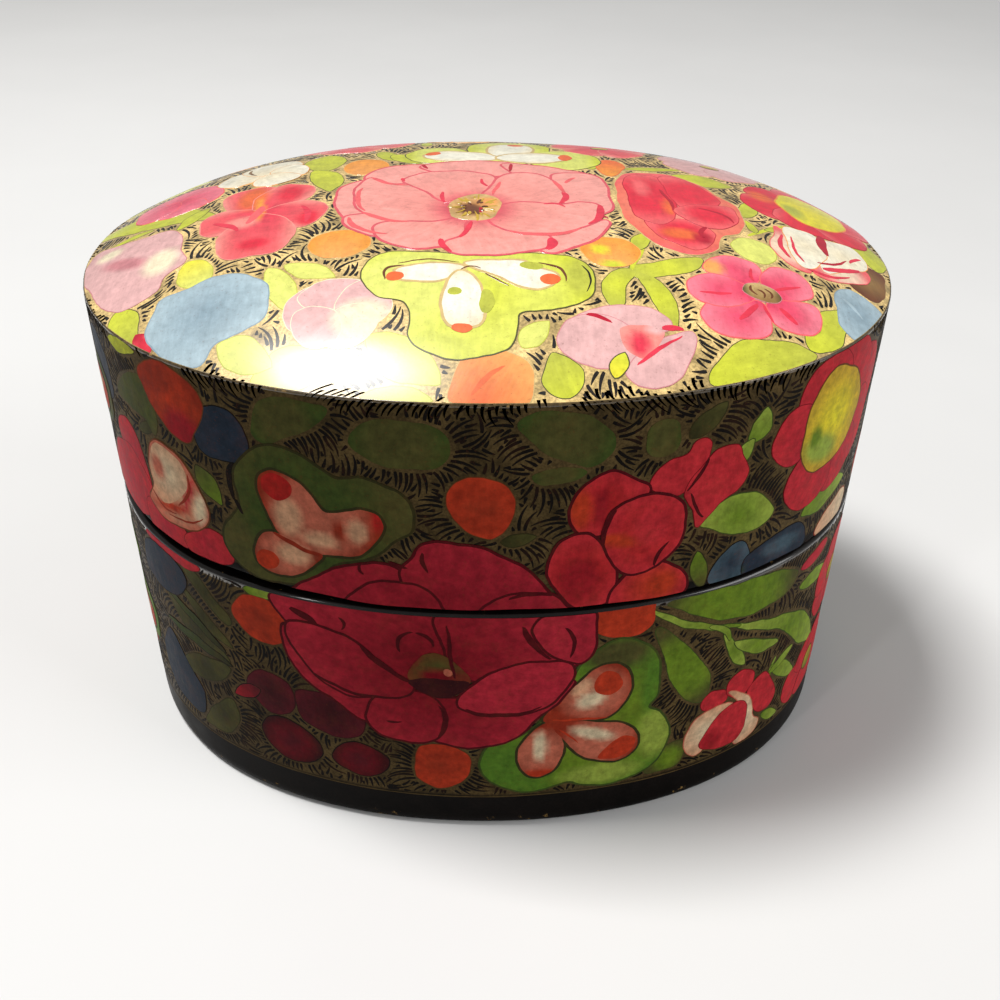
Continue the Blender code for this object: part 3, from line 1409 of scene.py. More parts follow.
@dataclass(frozen=True)
class PaintFinish:
    """Body colour laid with a soft brush under old varnish."""

    varnish: Varnish
    dabs: float = 0.55
    age: float = 0.1
    mottling: float = 0.24

    def material(self, name: str) -> bpy.types.Material:
        """Return the material; it reads each shape's pigments and brush run.

        Args:
            name: name of the material.

        Returns:
            The new material.
        """
        graph = Graph(name, self.varnish)
        place = graph.place()
        streaks = graph.node("Mapping", "Vector", {"Scale": (0.3, 1.6, 1.0),
                                                   "Vector": graph.attribute("brush", "Vector")})
        hairs = graph.noise(streaks, 1.1, 4.0, 0.6)
        patches = graph.noise(place, 330.0, 4.0, 0.6)
        blotch = graph.noise(place, 900.0, 4.0, 0.65)
        fine = graph.noise(place, 3200.0, 3.0, 0.6)
        colour = graph.blend(graph.span(patches, 0.46, 0.62, 0.0, self.dabs),
                             graph.attribute("pigment", "Color"), graph.attribute("dab", "Color"))
        cloudy = graph.span(blotch, 0.32, 0.68, 1 - self.mottling, 1 + self.mottling)
        for shade in (cloudy, graph.span(hairs, 0.3, 0.7, 0.92, 1.08)):
            colour = graph.blend(1.0, colour, shade, "MULTIPLY")
        for grime in (graph.span(patches, 0.36, 0.5, self.age, 0.0), graph.span(fine, 0.28, 0.4, 0.3, 0.0)):
            colour = graph.blend(grime, colour, opaque(Paint.UMBER))
        graph.relief(graph.sum("ADD", hairs, blotch), 0.00006, self.varnish.coat < 0.5)
        return graph.finish(colour, graph.span(blotch, 0.3, 0.7, 0.36, 0.55))


@dataclass(frozen=True)
class GroundFinish:
    """Black or gilt ground under the decoration, chipped to pale gesso on its edges."""

    varnish: Varnish

    def material(self, name: str) -> bpy.types.Material:
        """Return the material; it reads the wear and the ground colour that a shell carries.

        Args:
            name: name of the material.

        Returns:
            The new material.
        """
        graph = Graph(name, self.varnish)
        place = graph.place()
        broad = graph.noise(place, 260.0, 4.0, 0.6)
        chips = graph.noise(place, 620.0, 5.0, 0.7)
        fine = graph.noise(place, 3200.0, 3.0, 0.6)
        colour = graph.attribute("ground", "Color")
        for shade in (graph.span(broad, 0.35, 0.65, 0.55, 1.3), graph.span(fine, 0.35, 0.65, 0.7, 1.4)):
            colour = graph.blend(1.0, colour, shade, "MULTIPLY")
        bare = graph.sum("ADD", chips, graph.sum("MULTIPLY", graph.attribute("wear", "Fac"), 0.42))
        tan = graph.span(bare, 0.74, 0.80)
        colour = graph.blend(tan, colour, opaque(Paint.GOLD))
        colour = graph.blend(graph.span(bare, 0.84, 0.9), colour, opaque(Paint.GESSO))
        height = graph.sum("SUBTRACT", graph.sum("MULTIPLY", fine, 0.3), tan)
        graph.relief(height, 0.00006, self.varnish.coat < 0.8)
        return graph.finish(colour, graph.span(broad, 0.3, 0.7, 0.32, 0.48))


@dataclass(frozen=True)
class BoardFinish:
    """Thin black wash brushed over bare board, dusty in places."""

    varnish: Varnish
    dust: float

    def material(self, name: str) -> bpy.types.Material:
        """Return the material.

        Args:
            name: name of the material.

        Returns:
            The new material.
        """
        graph = Graph(name, self.varnish)
        broad = graph.noise(graph.place(), 90.0, 4.0)
        fine = graph.noise(graph.place(), 3000.0, 3.0)
        colour = graph.blend(graph.span(broad, 0.4, 0.7), opaque(Paint.INK), opaque(Paint.SOOT))
        colour = graph.blend(graph.span(fine, 0.6, 0.8, 0.0, self.dust), colour, opaque(Paint.UMBER))
        graph.relief(fine, 0.00005)
        return graph.finish(colour, graph.span(broad, 0.3, 0.7, 0.4, 0.6))


def make_finishes() -> dict[Look, bpy.types.Material]:
    """Return the material of every finish of the box.

    Returns:
        Materials by finish.
    """
    recipes = {
        Look.CROWN_PAINT: PaintFinish(CROWN_VARNISH, dabs=0.4, age=0.04, mottling=0.1),
        Look.WALL_PAINT: PaintFinish(WALL_VARNISH),
        Look.GROUND: GroundFinish(WALL_VARNISH),
        Look.GILDING: GroundFinish(CROWN_VARNISH),
        Look.LACQUER: GroundFinish(LACQUER_VARNISH),
        Look.BOARD: BoardFinish(INSIDE_VARNISH, dust=0.45),
        Look.LINING: BoardFinish(INSIDE_VARNISH, dust=0.35),
    }
    return {look: recipe.material(look.value) for look, recipe in recipes.items()}


@dataclass
class ShellLoft:
    """A closed shell lofted through rings that follow the outline of the box."""

    oval: Oval
    steps: int = 420
    ground: Paint = Paint.INK
    rings: list[np.ndarray] = field(default_factory=list)
    wear: list[np.ndarray] = field(default_factory=list)
    grounds: list[np.ndarray] = field(default_factory=list)

    def walks(self) -> np.ndarray:
        """Return the walk of each step round the box."""
        return np.linspace(-self.oval.length / 2, self.oval.length / 2, self.steps, endpoint=False)

    def ring(self, spots: np.ndarray, wear: float | np.ndarray = 0.0) -> None:
        """Add a ring of points in millimetres with how worn it is, in the ground colour in use.

        Args:
            spots: a point for each step round the box.
            wear: how worn the ring is, from 0 to 1.
        """
        self.rings.append(spots)
        self.wear.append(np.broadcast_to(wear, self.steps))
        self.grounds.append(np.tile((*self.ground.value.linear(), 1.0), (self.steps, 1)))

    def turn(self, corner: np.ndarray, target: np.ndarray, wear: float, stations: int) -> None:
        """Round a corner from the last ring to a target ring, over some rings between them.

        Args:
            corner: ring that the sharp corner would have.
            target: last ring of the turn.
            wear: how worn the corner is, from 0 to 1.
            stations: number of rings between.
        """
        start = self.rings[-1]
        for station in range(1, stations + 1):
            share = station / (stations + 1)
            self.ring(start * (1 - share) ** 2 + corner * 2 * share * (1 - share) + target * share ** 2, wear)
        self.ring(target, wear * 0.5)

    def upright(self, inset: float, level: np.ndarray | float) -> np.ndarray:
        """Return a ring set in from the outline at a level."""
        flat = self.oval.at(self.walks()) - self.oval.outward(self.walks()) * inset
        return np.column_stack([flat, np.broadcast_to(level, self.steps)])

    def painted(self, chart: Chart, level: np.ndarray | float) -> np.ndarray:
        """Return a ring on the ground coat of a wall at a level."""
        return chart.place(np.column_stack([self.walks(), np.broadcast_to(level, self.steps)]))

    def build(self, name: str, finish: bpy.types.Material, crowned: bool) -> bpy.types.Object:
        """Make the shell.

        Args:
            name: name of the piece.
            finish: its material.
            crowned: True to close both ends with a tip, False to join the last ring to the first.

        Returns:
            The new object.
        """
        spots, wear, grounds = list(self.rings), list(self.wear), list(self.grounds)
        steps, rows = self.steps, len(self.rings)
        around = [(step, (step + 1) % steps) for step in range(steps)]
        faces: list[tuple[int, ...]] = []
        for row in range(rows - 1 if crowned else rows):
            here, below = row * steps, (row + 1) % rows * steps
            faces += [(here + step, below + step, below + after, here + after) for step, after in around]
        if crowned:
            total, last = steps * rows, steps * (rows - 1)
            spots.append(np.array([spots[0].mean(axis=0), spots[-1].mean(axis=0)]))
            wear.append(np.zeros(2))
            grounds.append(np.array([grounds[0][0], grounds[-1][0]]))
            for step, after in around:
                faces += [(total, step, after), (total + 1, last + after, last + step)]
        return add_mesh(name, spots, faces, finish,
                        {"wear": np.concatenate(wear), "ground": np.vstack(grounds)})

    def overlay(self, name: str, order: Sequence[int], finish: bpy.types.Material,
                crowned: bool) -> bpy.types.Object:
        """Lay a thin closed skin of lacquer over some rings of the shell.

        Args:
            name: name of the piece.
            order: which of the rings the skin covers, one after another.
            finish: its material.
            crowned: True where the first ring closes over the top.

        Returns:
            The new object.
        """
        stack = np.array([self.rings[row] for row in order])
        outward = np.cross(np.roll(stack, -1, axis=1) - np.roll(stack, 1, axis=1), np.gradient(stack, axis=0))
        outward /= np.linalg.norm(outward, axis=2, keepdims=True)
        if (outward[-1, :, :2] * self.oval.outward(self.walks())).sum() < 0:
            outward = -outward
        skin = ShellLoft(self.oval)
        rows = list(range(len(order)))
        for lift, run in ((LACQUER_COAT, rows), (-SKIRT_DEPTH, rows[::-1])):
            for row in run:
                skin.rings.append(stack[row] + outward[row] * lift)
                skin.wear.append(self.wear[order[row]])
                skin.grounds.append(self.grounds[order[row]])
        return skin.build(name, finish, crowned)


def disc(spot: Plan, width: float, wash: Wash, height: float | None = None) -> Petal:
    """Return a round berry with its middle at a spot."""
    half = (width if height is None else height) / 2
    return Petal((spot[0], spot[1] - half), (spot[0], spot[1] + half), width, wash, belly=0.5, root=1.0)


def leaf(base: Plan, tip: Plan, breadth: float, wash: Wash, bend: float = 0.0) -> Petal:
    """Return a pointed leaf."""
    return Petal(base, tip, breadth, wash, belly=0.45, blunt=0.25, root=0.45, bend=bend)


def pairs(row: Row) -> tuple[Plan, ...]:
    """Return the points of a row of x and y in turn."""
    return tuple(zip(row[::2], row[1::2]))


def petals(wash: Wash, *rows: Row, **form: float) -> tuple[Petal, ...]:
    """Return petals of one wash, each from its base, its tip and its breadth."""
    return tuple(Petal(row[:2], row[2:4], row[4], wash, **form) for row in rows)


def flower(wash: Wash, heart: Plan, *rows: Row, **form: float) -> tuple[Petal, ...]:
    """Return petals of one wash that grow from one heart, each from its tip and its breadth."""
    return petals(wash, *((*heart, *row) for row in rows), **form)


def leaves(wash: Wash, *rows: Row) -> tuple[Petal, ...]:
    """Return pointed leaves of one wash, each from its base, tip, breadth and bend."""
    return tuple(leaf(row[:2], row[2:4], row[4], wash, *row[5:]) for row in rows)


def rounds(wash: Wash, *rows: Row) -> tuple[Petal, ...]:
    """Return round shapes of one wash, each from its middle, width and height."""
    return tuple(disc(row[:2], row[2], wash, *row[3:]) for row in rows)


def blots(wash: Wash, *rows: Row, heart: Plan | None = None, reach: float = 14.0) -> tuple[Blot, ...]:
    """Return shapes of one wash, each inside an outline given by its points."""
    return tuple(Blot(pairs(row), wash, heart, reach) for row in rows)


def touches(wash: Wash, *rows: Row) -> tuple[Stroke, ...]:
    """Return lines of one wash, each from its width and the points it runs through."""
    return tuple(Stroke(pairs(row[1:]), row[0], wash) for row in rows)


def stamens(wash: Wash, spot: Plan, reach: Plan, count: int) -> tuple[Stroke, ...]:
    """Return short uneven strokes that fan out round the heart of a flower.

    Args:
        wash: colour of the strokes.
        spot: middle of the heart.
        reach: half the heart's width and height.
        count: number of strokes.

    Returns:
        The strokes.
    """
    strokes = []
    for order in range(count):
        angle = 2 * math.pi * (order + 0.3 * math.sin(order * 2.3)) / count
        near, far = 0.55 + 0.15 * math.sin(order * 1.7), 1.06 + 0.2 * math.sin(order * 3.7)
        row = [0.32 + 0.1 * math.sin(order * 1.1)]
        for share, bend in ((near, 0.0), ((near + far) / 2, 0.09), (far, 0.05)):
            row.append(spot[0] + share * reach[0] * math.cos(angle + bend))
            row.append(spot[1] + share * reach[1] * math.sin(angle + bend))
        strokes.append(tuple(row))
    return touches(wash, *strokes)


def plain(paint: Paint) -> Wash:
    """Return a wash of one colour without a line."""
    return Wash(paint, paint, paint, line_width=0.0)


def lit(wash: Wash, *rows: tuple) -> Wash:
    """Return a wash with soft patches on it, each from its paint, place, reach and turn."""
    glows = tuple(Glow(row[0], row[1:3], row[3:5], *row[5:]) for row in rows)
    return replace(wash, glows=wash.glows + glows)


def bloom(name: str, spot: Plan, radius: float, count: int, wash: Wash, eye: Wash, turn: float) -> Motif:
    """Return an open flower with equal petals round an eye.

    Args:
        name: name of the motif.
        spot: its middle on the plan.
        radius: reach of the petals, in millimetres.
        count: number of petals.
        wash: wash of the petals.
        eye: wash of the eye.
        turn: turn of the flower, in degrees.

    Returns:
        The flower.
    """
    shapes: list[Shape] = []
    share = 2 * math.pi / count
    for order in range(count):
        angle = math.radians(turn) + order * share
        across, up = math.cos(angle), math.sin(angle)
        reach = radius * (1 + 0.06 * math.sin(3.1 * order + turn))
        base = (spot[0] + across * radius * 0.12, spot[1] + up * radius * 0.12)
        tip = (spot[0] + across * reach, spot[1] + up * reach)
        shapes.append(Petal(base, tip, radius * share * 1.25 * 0.62, wash, belly=0.66, notch=0.05))
    return Motif(name, (*shapes, disc(spot, radius * 0.36, eye, radius * 0.32)))


# Washes of the crown, lighter than those of the walls: partly their own paler paint and partly a painted
# highlight, the glare of the crown's varnish
ROSE_WASH = Wash(Paint.SALMON, Paint.SALMON_PALE, Paint.SALMON_LINE, line_width=0.34)
ROSE_TOUCH = plain(Paint.CORAL_DEEP)
SOFT_TOUCH = plain(Paint.CORAL)
CORAL_WASH = Wash(Paint.CORAL_DEEP, Paint.CORAL, Paint.SALMON, Paint.SALMON)
CRIMSON_WASH = Wash(Paint.CRIMSON_DEEP, Paint.CRIMSON, Paint.CRIMSON_DEEP, Paint.CORAL)
CRIMSON_SOFT = Wash(Paint.CRIMSON, Paint.CRIMSON, Paint.CRIMSON_DEEP, Paint.CORAL, 0.1)
PINK_WASH = Wash(Paint.PINK_DEEP, Paint.PINK, Paint.CORAL, Paint.PINK)
MAUVE_WASH = Wash(Paint.MAUVE, Paint.MAUVE, Paint.MAUVE_DEEP, line_width=0.1)
BERRY_WASH = Wash(Paint.APRICOT, Paint.AMBER, Paint.APRICOT, Paint.AMBER, 0.1)
BUD_WASH = Wash(Paint.AMBER, Paint.VERMILION, Paint.VERMILION)
SKY_WASH = Wash(Paint.SKY, Paint.SKY_PALE, Paint.SKY)
LIME_WASH = Wash(Paint.LIME, Paint.LEAF, Paint.OLIVE, line_width=0.1)
LIME_PALE_WASH = Wash(Paint.LIME_PALE, Paint.LIME_PALE, Paint.LEAF, line_width=0.1)
LEAF_WASH = Wash(Paint.LEAF, Paint.LIME, Paint.OLIVE, line_width=0.1)
BRONZE_WASH = Wash(Paint.GOLD, Paint.UMBER, Paint.UMBER, line_width=0.0)
CREAM_WASH = Wash(Paint.CREAM, Paint.WHITE, Paint.APRICOT, line_width=0.1)
WHITE_WASH = Wash(Paint.WHITE, Paint.WHITE, Paint.GILT, Paint.CREAM, 0.34)
CLOUD_WASH = Wash(Paint.LIME_PALE, Paint.LIME_PALE, Paint.OLIVE, Paint.LIME, 0.16, joined=True)
CAP_WASH = plain(Paint.VERMILION)
TINT_WASH = plain(Paint.LEAF)
SPRIG_WASH = plain(Paint.LIME)
STRIPE_WASH = plain(Paint.CORAL_DEEP)
CRIMSON_TOUCH = plain(Paint.CRIMSON_DEEP)
UMBER_TOUCH = plain(Paint.UMBER)
STAMEN_TOUCH = plain(Paint.MUSTARD)
INK_TOUCH = plain(Paint.INK)

# Washes of the walls
MADDER_WASH = Wash(Paint.MADDER_DEEP, Paint.MADDER_PALE, Paint.MADDER_LINE, line_width=0.34)
MADDER_TOUCH = plain(Paint.MADDER_LINE)
SCARLET_WASH = Wash(Paint.SCARLET, Paint.RED, Paint.MADDER_LINE, line_width=0.34)
RED_WASH = Wash(Paint.MADDER_PALE, Paint.RED, Paint.MADDER_DEEP, line_width=0.1)
TULIP_WASH = Wash(Paint.RED, Paint.RED, Paint.MADDER_DEEP, line_width=0.1)
BURGUNDY_WASH = Wash(Paint.BURGUNDY_DEEP, Paint.BURGUNDY, Paint.BURGUNDY_DEEP)
RUST_WASH = Wash(Paint.RUST, Paint.FLAME, Paint.UMBER, line_width=0.1)
FLAME_WASH = Wash(Paint.FLAME, Paint.RUST, Paint.UMBER)
FLAME_CAP = plain(Paint.FLAME)
RUST_TOUCH = plain(Paint.RUST)
FLESH_WASH = Wash(Paint.FLESH, Paint.FLESH, Paint.OLIVE_DARK, Paint.RUST, 0.36, joined=True)
IVORY_WASH = Wash(Paint.FLESH_PALE, Paint.IVORY, Paint.RUST)
IVORY_TOUCH = Wash(Paint.IVORY, Paint.IVORY, Paint.FLESH, Paint.FLESH_PALE, 0.0)
GRASS_WASH = Wash(Paint.GRASS, Paint.GRASS, Paint.MOSS, Paint.FERN, 0.3, joined=True)
MOSS_WASH = Wash(Paint.MOSS, Paint.MOSS, Paint.OLIVE_DARK, Paint.OLIVE, 0.3, joined=True)
OLIVE_WASH = Wash(Paint.OLIVE_DARK, Paint.OLIVE, Paint.OLIVE_DARK)
GRASS_LEAF = Wash(Paint.MOSS, Paint.GRASS, Paint.OLIVE_DARK)
DULL_LEAF = Wash(Paint.OLIVE, Paint.OLIVE, Paint.OLIVE_DARK, Paint.MOSS, 0.0)
SHADE_LEAF = Wash(Paint.OLIVE_DARK, Paint.MOSS, Paint.INK)
FRESH_LEAF = Wash(Paint.GRASS, Paint.SPRIG, Paint.MOSS)
GREEN_SPRIG = Wash(Paint.SPRIG, Paint.GRASS, Paint.MOSS, line_width=0.1)
SLATE_WASH = Wash(Paint.SLATE_DARK, Paint.SLATE, Paint.INK)
# darkest slate; on the body's left it stands partly for painted shade of the dimmer left side
DUSK_WASH = Wash(Paint.SLATE_DARK, Paint.SLATE_DARK, Paint.INK)
MUSTARD_WASH = Wash(Paint.GRASS, Paint.MUSTARD, Paint.UMBER, line_width=0.3)


def crown_rose() -> tuple[Shape, ...]:
    """Return the great rose in the middle of the crown.

    Returns:
        Its shapes, in painter's order.
    """
    heart = (-2, -6)
    shadow = lit(ROSE_WASH, (Paint.SALMON_LINE, -2, -6.5, 4.6, 5))
    outer = blots(ROSE_WASH, (-15.2, 3.5, -14.8, 7.4, -12, 9.4, -8.4, 9.6, -7, 5, -10, 2.5),
        (-8.6, 8.6, -6, 10.6, -1.5, 11.2, 2.6, 10.4, 3.2, 6, -3, 4.5),
        (1.8, 9.6, 5, 9.6, 8.6, 8.2, 12.4, 5.9, 12, 1, 5, 3),
        (8, 5.2, 11.6, 6.4, 14.1, 4.4, 14.4, -1, 14.2, -6.4, 11.5, -8, 8.4, -3),
        (-15.6, 3.8, -18.2, 1.6, -18.5, -3.4, -17, -8.6, -13.5, -8.5, -13.5, 0),
        (-16.9, -8.4, -16, -11.6, -12.8, -14, -8, -12, -9, -8.5, -13, -7.8),
        (5.2, -13, 9.6, -12.4, 13.4, -9.6, 12.6, -13.2, 10, -16.2, 6.2, -18.2, 4.6, -16), heart=heart,
        reach=15)
    inner = blots(shadow, (-12.7, -10.6, -7, -9.8, -2.9, -10.2, -2.8, -13.2, -4.8, -16.4, -8, -17.2,
        -11.2, -16.2, -12.9, -13.8), (-2.3, -10.2, -3, -14, -5, -16.1, -4.2, -18.3, -1, -18.9, 3, -18.3,
        6.2, -16.9, 6.4, -14.4, 3.6, -12.6, 0.5, -10), (-15, 4.6, -16.4, 0.5, -15.7, -5.6, -12.6, -9.3,
        -7.6, -10.2, -4.2, -8.9, -5, -5, -7.2, -1, -9.4, 1.8, -12.2, 2.4),
        (-10.6, 3.4, -8.4, 6.2, -5, 6.9, -1.6, 6.2, 0.6, 4.4, 0.4, 0.6, -0.6, -3.4, -5.4, -4, -7.8, -0.6),
        (-0.2, -0.4, 0.8, 2.8, 2.4, 5.6, 5.4, 6, 7.6, 3.6, 8.8, 0.2, 8.9, -2.8, 8, -4.8, 4.6, -5, 0.4, -5,
        -0.8, -2.6), (-0.2, -7.8, 1.4, -5.4, 5, -4.6, 8.4, -5.3, 10.8, -4.2, 12.7, -5, 13, -7.8,
        11.6, -10.8, 8.5, -12.9, 5, -13.7, 2, -12.9, 0, -10.8), heart=heart, reach=15)
    ochre = lit(Wash(Paint.APRICOT, Paint.GILT, Paint.SALMON, line_width=0, mottle=Paint.UMBER),
        (Paint.UMBER, -2.4, -6.8, 1.5, 1.9), (Paint.APRICOT, -0.2, -4.4, 1.3, 1.3))
    eye = blots(ochre,
        (-4.8, -5, -3.6, -2.8, -1.4, -1.8, 0.8, -3, 1.2, -6, 0.2, -9.4, -2.2, -10.2, -4.6, -9))
    return (
        outer
        + inner
        + eye
        + touches(CRIMSON_TOUCH, (0.5, -1.2, -6.2, -1, -7, -1.4, -8), (0.5, -8.5, 9.9, -8.3, 9, -7.7, 7.9),
            (0.5, 2.9, 9.9, 2.9, 8.6, 2.5, 6.6), (0.4, 13, -6.2, 13.2, -8.2, 13.8, -9))
        + stamens(STAMEN_TOUCH, (-1.8, -6), (2.6, 3.5), 19)
        + stamens(UMBER_TOUCH, (-1.8, -6.2), (1.5, 2.1), 9)
        + touches(ROSE_TOUCH, (0.85, 8.9, -0.9, 9.1, -2.6, 8.3, -4.9),
            (0.95, 12.9, -5, 13, -7.6, 11.2, -11), (1.2, 6.6, -14.8, 6.9, -15.8, 5.9, -17.6),
            (0.8, -5.6, -15.2, -5.4, -16.6, -4.4, -18.2), (0.6, -2.2, -10.6, -2.7, -12.8, -3.8, -14.9),
            (0.5, 6.4, -5, 8, -5, 9, -6), (0.45, -0.9, 3.8, -1, 2.4, -0.2, 0.8),
            (0.5, -5.8, -1, -5.8, -3, -5.2, -4.6), (0.45, -10.9, 4.6, -10.8, 4, -10.5, 3.2))
        + touches(SOFT_TOUCH, (0.8, -15, -7.2, -12.6, -9.4, -9.6, -10.4),
            (0.6, 9.4, 2.4, 9.9, 3.6, 11, 4.6), (0.7, -16.6, -8.6, -15, -12, -11.6, -13.6),
            (0.8, 2, -13, 6, -14, 10.4, -12), (0.6, -15.6, 1, -16, -3, -14.6, -7),
            (0.6, -14.8, 5, -12.6, 2.6, -9.6, 1.6), (0.5, 1.4, 2.6, 0.8, 0.6, 0.4, -2),
            (0.6, 7.8, 3.2, 8.8, 0.8, 9, -1.4))
    )


def crown_front() -> list[Motif]:
    """Return the flowers of the crown's front half, beside and before the great rose.

    Returns:
        The motifs, in painter's order.
    """
    coral_left = (
        flower(lit(CORAL_WASH, (Paint.SALMON, -29.4, -7.4, 2, 1.6), (Paint.VERMILION, -29.2, 0.6, 1.8, 4),
            (Paint.AMBER, -27.8, -3.4, 0.6, 3.6, 8), (Paint.CRIMSON, -24.6, 0.8, 1.5, 2.6),
            (Paint.CRIMSON, -21.4, -8, 1.3, 2.2), (Paint.CRIMSON, -27, -13.6, 1.8, 1.3)), (-27.4, -5.4),
            (-30.4, 4.6, 7.6), (-23.6, 4.2, 6.8), (-34.6, -7.2, 7), (-19.4, -7.2, 8.4), (-26.8, -16.8, 9.2),
            belly=0.64, notch=0.04)
        + touches(SOFT_TOUCH, (1.2, -27.6, -3, -27.8, -5.4, -28.8, -8))
        + touches(STRIPE_WASH, (0.8, -33, -6.4, -31, -7.6, -29.4, -9.8),
            (0.8, -22.6, -4, -21.6, -6.6, -21.4, -9.4))
    )
    crimson_right = (
        blots(Wash(Paint.SALMON, Paint.VERMILION, Paint.GILT, Paint.CORAL), (16, 4, 15.5, -3, 15.7, -8,
            17, -12.4, 19.6, -15.8, 22.6, -16.8, 25.6, -15, 26.8, -11.6, 29.2, -9.8, 30.4, -6, 30.4, -1.6,
            28.6, 1.8, 27, 5, 23, 8.2, 18, 7.4))
        + blots(lit(CRIMSON_SOFT, (Paint.VERMILION, 21.8, -12, 2.2, 1.3),
            (Paint.CRIMSON_DEEP, 24.4, -12.6, 1.2, 1.4), (Paint.VERMILION, 21.4, -4.6, 0.5, 3),
            (Paint.CORAL, 18.8, 2, 1, 3)),
            (18.2, -8.8, 18.9, -12.6, 20.6, -14.4, 23, -15.6, 25.2, -13.8, 25.9, -11, 24.2, -8.6, 21.4, -8),
            (17, 4.6, 16.9, -3, 17.1, -7.8, 20, -9.8, 22.2, -6, 22.4, 0, 21.8, 6, 19.2, 7.2),
            (21.8, 6.4, 22.3, -1, 23.4, -4.6, 26.8, -3.8, 28.4, 0, 26.6, 4.6, 24, 7.2),
            (22, -5.4, 24, -9, 27.4, -9.4, 29.6, -6.4, 29.7, -2.4, 27.4, -2.2, 24, -3.2))
        + touches(CRIMSON_TOUCH, (0.5, 21.2, 1.6, 21.8, -1.6, 22, -5.4),
            (0.6, 25.2, -9.4, 24.4, -10.6, 24.6, -12.4), (0.5, 25, -4, 27.4, -4.6, 29, -7.4))
    )
    blush = lit(PINK_WASH, (Paint.PINK_DEEP, 29.4, -22.2, 3.6, 3.2))
    five_petal = (
        blots(lit(blush, (Paint.APRICOT, 24.2, -19, 1.3, 1.6)), (28.6, -21.2, 25.8, -20.8, 23.4, -20,
            23.8, -18.2, 25.6, -16.6, 27.6, -16.2, 29.6, -17.2, 29.8, -19.4))
        + blots(blush, (29.8, -20.6, 30.2, -18.6, 32, -16.8, 34.4, -16.8, 35.7, -18.4, 35.4, -20.8,
            33.6, -22.2, 31.2, -22.4), (30.8, -23, 33, -22.6, 35.7, -22.4, 35.8, -24.6, 34.2, -26.8,
            31.6, -27.3, 29.8, -26, 29.6, -24),
            (29, -24, 29.8, -26.4, 29, -28.4, 26.4, -29.6, 23.4, -29.2, 22, -27.4, 23, -25.4, 26, -24.6),
            (28, -22.2, 26.4, -20.8, 23.4, -20.6, 21.4, -22, 21.2, -24.2, 22.8, -25.6, 26, -25.2,
            28.2, -23.8))
        + touches(ROSE_TOUCH, (0.4, 26, -23.2, 24, -23.8, 22.2, -23.9),
            (0.5, 31, -21.4, 32.6, -20.4, 34.4, -19.6), (0.4, 29.2, -24.2, 29.6, -25.4, 30.2, -26.6),
            (0.7, 28.6, -24.4, 27.4, -26, 26, -27.2), (0.7, 31, -24, 31.8, -25, 32.8, -26.2),
            (0.4, 28.9, -20.6, 28.7, -19.4, 28.9, -18))
    )
    five_petal += rounds(Wash(Paint.GOLD, Paint.GILT, Paint.MAUVE_DEEP, Paint.OLIVE, 0.1,
        mottle=Paint.UMBER), (29.4, -22.3, 4.4, 2.8))
    five_petal += touches(UMBER_TOUCH, (0.35, 28.4, -21.4, 28.1, -22.2, 28.8, -23),
        (0.3, 29.8, -21.6, 30.6, -22.2, 30.2, -23), (0.3, 28.9, -22, 29.6, -22.4, 29.4, -23.2))
    mauve_left = blots(lit(MAUVE_WASH, (Paint.MAUVE_DEEP, -43, -10.4, 3.4, 1.2, -30),
        (Paint.CREAM, -38, -13, 2, 2.6), (Paint.CREAM, -46, -6, 1.6, 1.2)), (-48.4, -3.4, -43.4, -4.4,
        -38.8, -5, -36.4, -7.6, -36, -11.4, -34.6, -14.4, -36.8, -16.6, -37.2, -19.2, -40.6, -20.4,
        -43.6, -18.8, -46, -14.4, -48.6, -9.6))
    # the cream line and the cream patch of this flower lie in the varnish's glare and are partly a painted
    # highlight
    mauve_mid = flower(lit(replace(MAUVE_WASH, line=Paint.CREAM), (Paint.CREAM, -13.6, -29, 3, 2.4)),
        (-16.4, -27.8), (-21.8, -26.4, 6.4), (-17.4, -22.9, 7), (-10.8, -26, 6.6), (-13.2, -31.8, 6.4),
        (-20, -31.2, 6), belly=0.62)
    mauve_tulip = (
        blots(MAUVE_WASH, (8.6, -29.6, 11, -28, 14, -27.1, 17, -27.6, 18.6, -29, 17.4, -30.4, 14, -31),
            (6.6, -32.8, 7.4, -30, 10, -28.9, 13.2, -29.4, 15, -31.6, 14.4, -34.2, 11.6, -35.2, 8.6, -34.9),
            (20.7, -30, 20.4, -33, 18.2, -36, 15, -36.8, 13.4, -35.8, 14.4, -33.8, 17.4, -31.2))
        + blots(lit(plain(Paint.SALMON), (Paint.CORAL_DEEP, 15, -32.2, 1.1, 1.5),
            (Paint.MAUVE, 16.8, -30.2, 1, 0.6)),
            (13.2, -30.4, 15.4, -29.9, 17.6, -30.2, 17, -32.2, 15.4, -34, 13.4, -33))
        + touches(ROSE_TOUCH, (0.4, 14.4, -34.8, 16.6, -32.8, 19.6, -30.6),
            (0.7, 17.4, -30, 18.6, -29.6, 19.8, -29.8))
        + touches(CRIMSON_TOUCH, (0.55, 9.7, -28.9, 11, -29.2, 12.4, -29.8))
        + leaves(Wash(Paint.YELLOW, Paint.LIME, Paint.OLIVE), (12.2, -36.2, 13.2, -33.4, 1.8))
    )
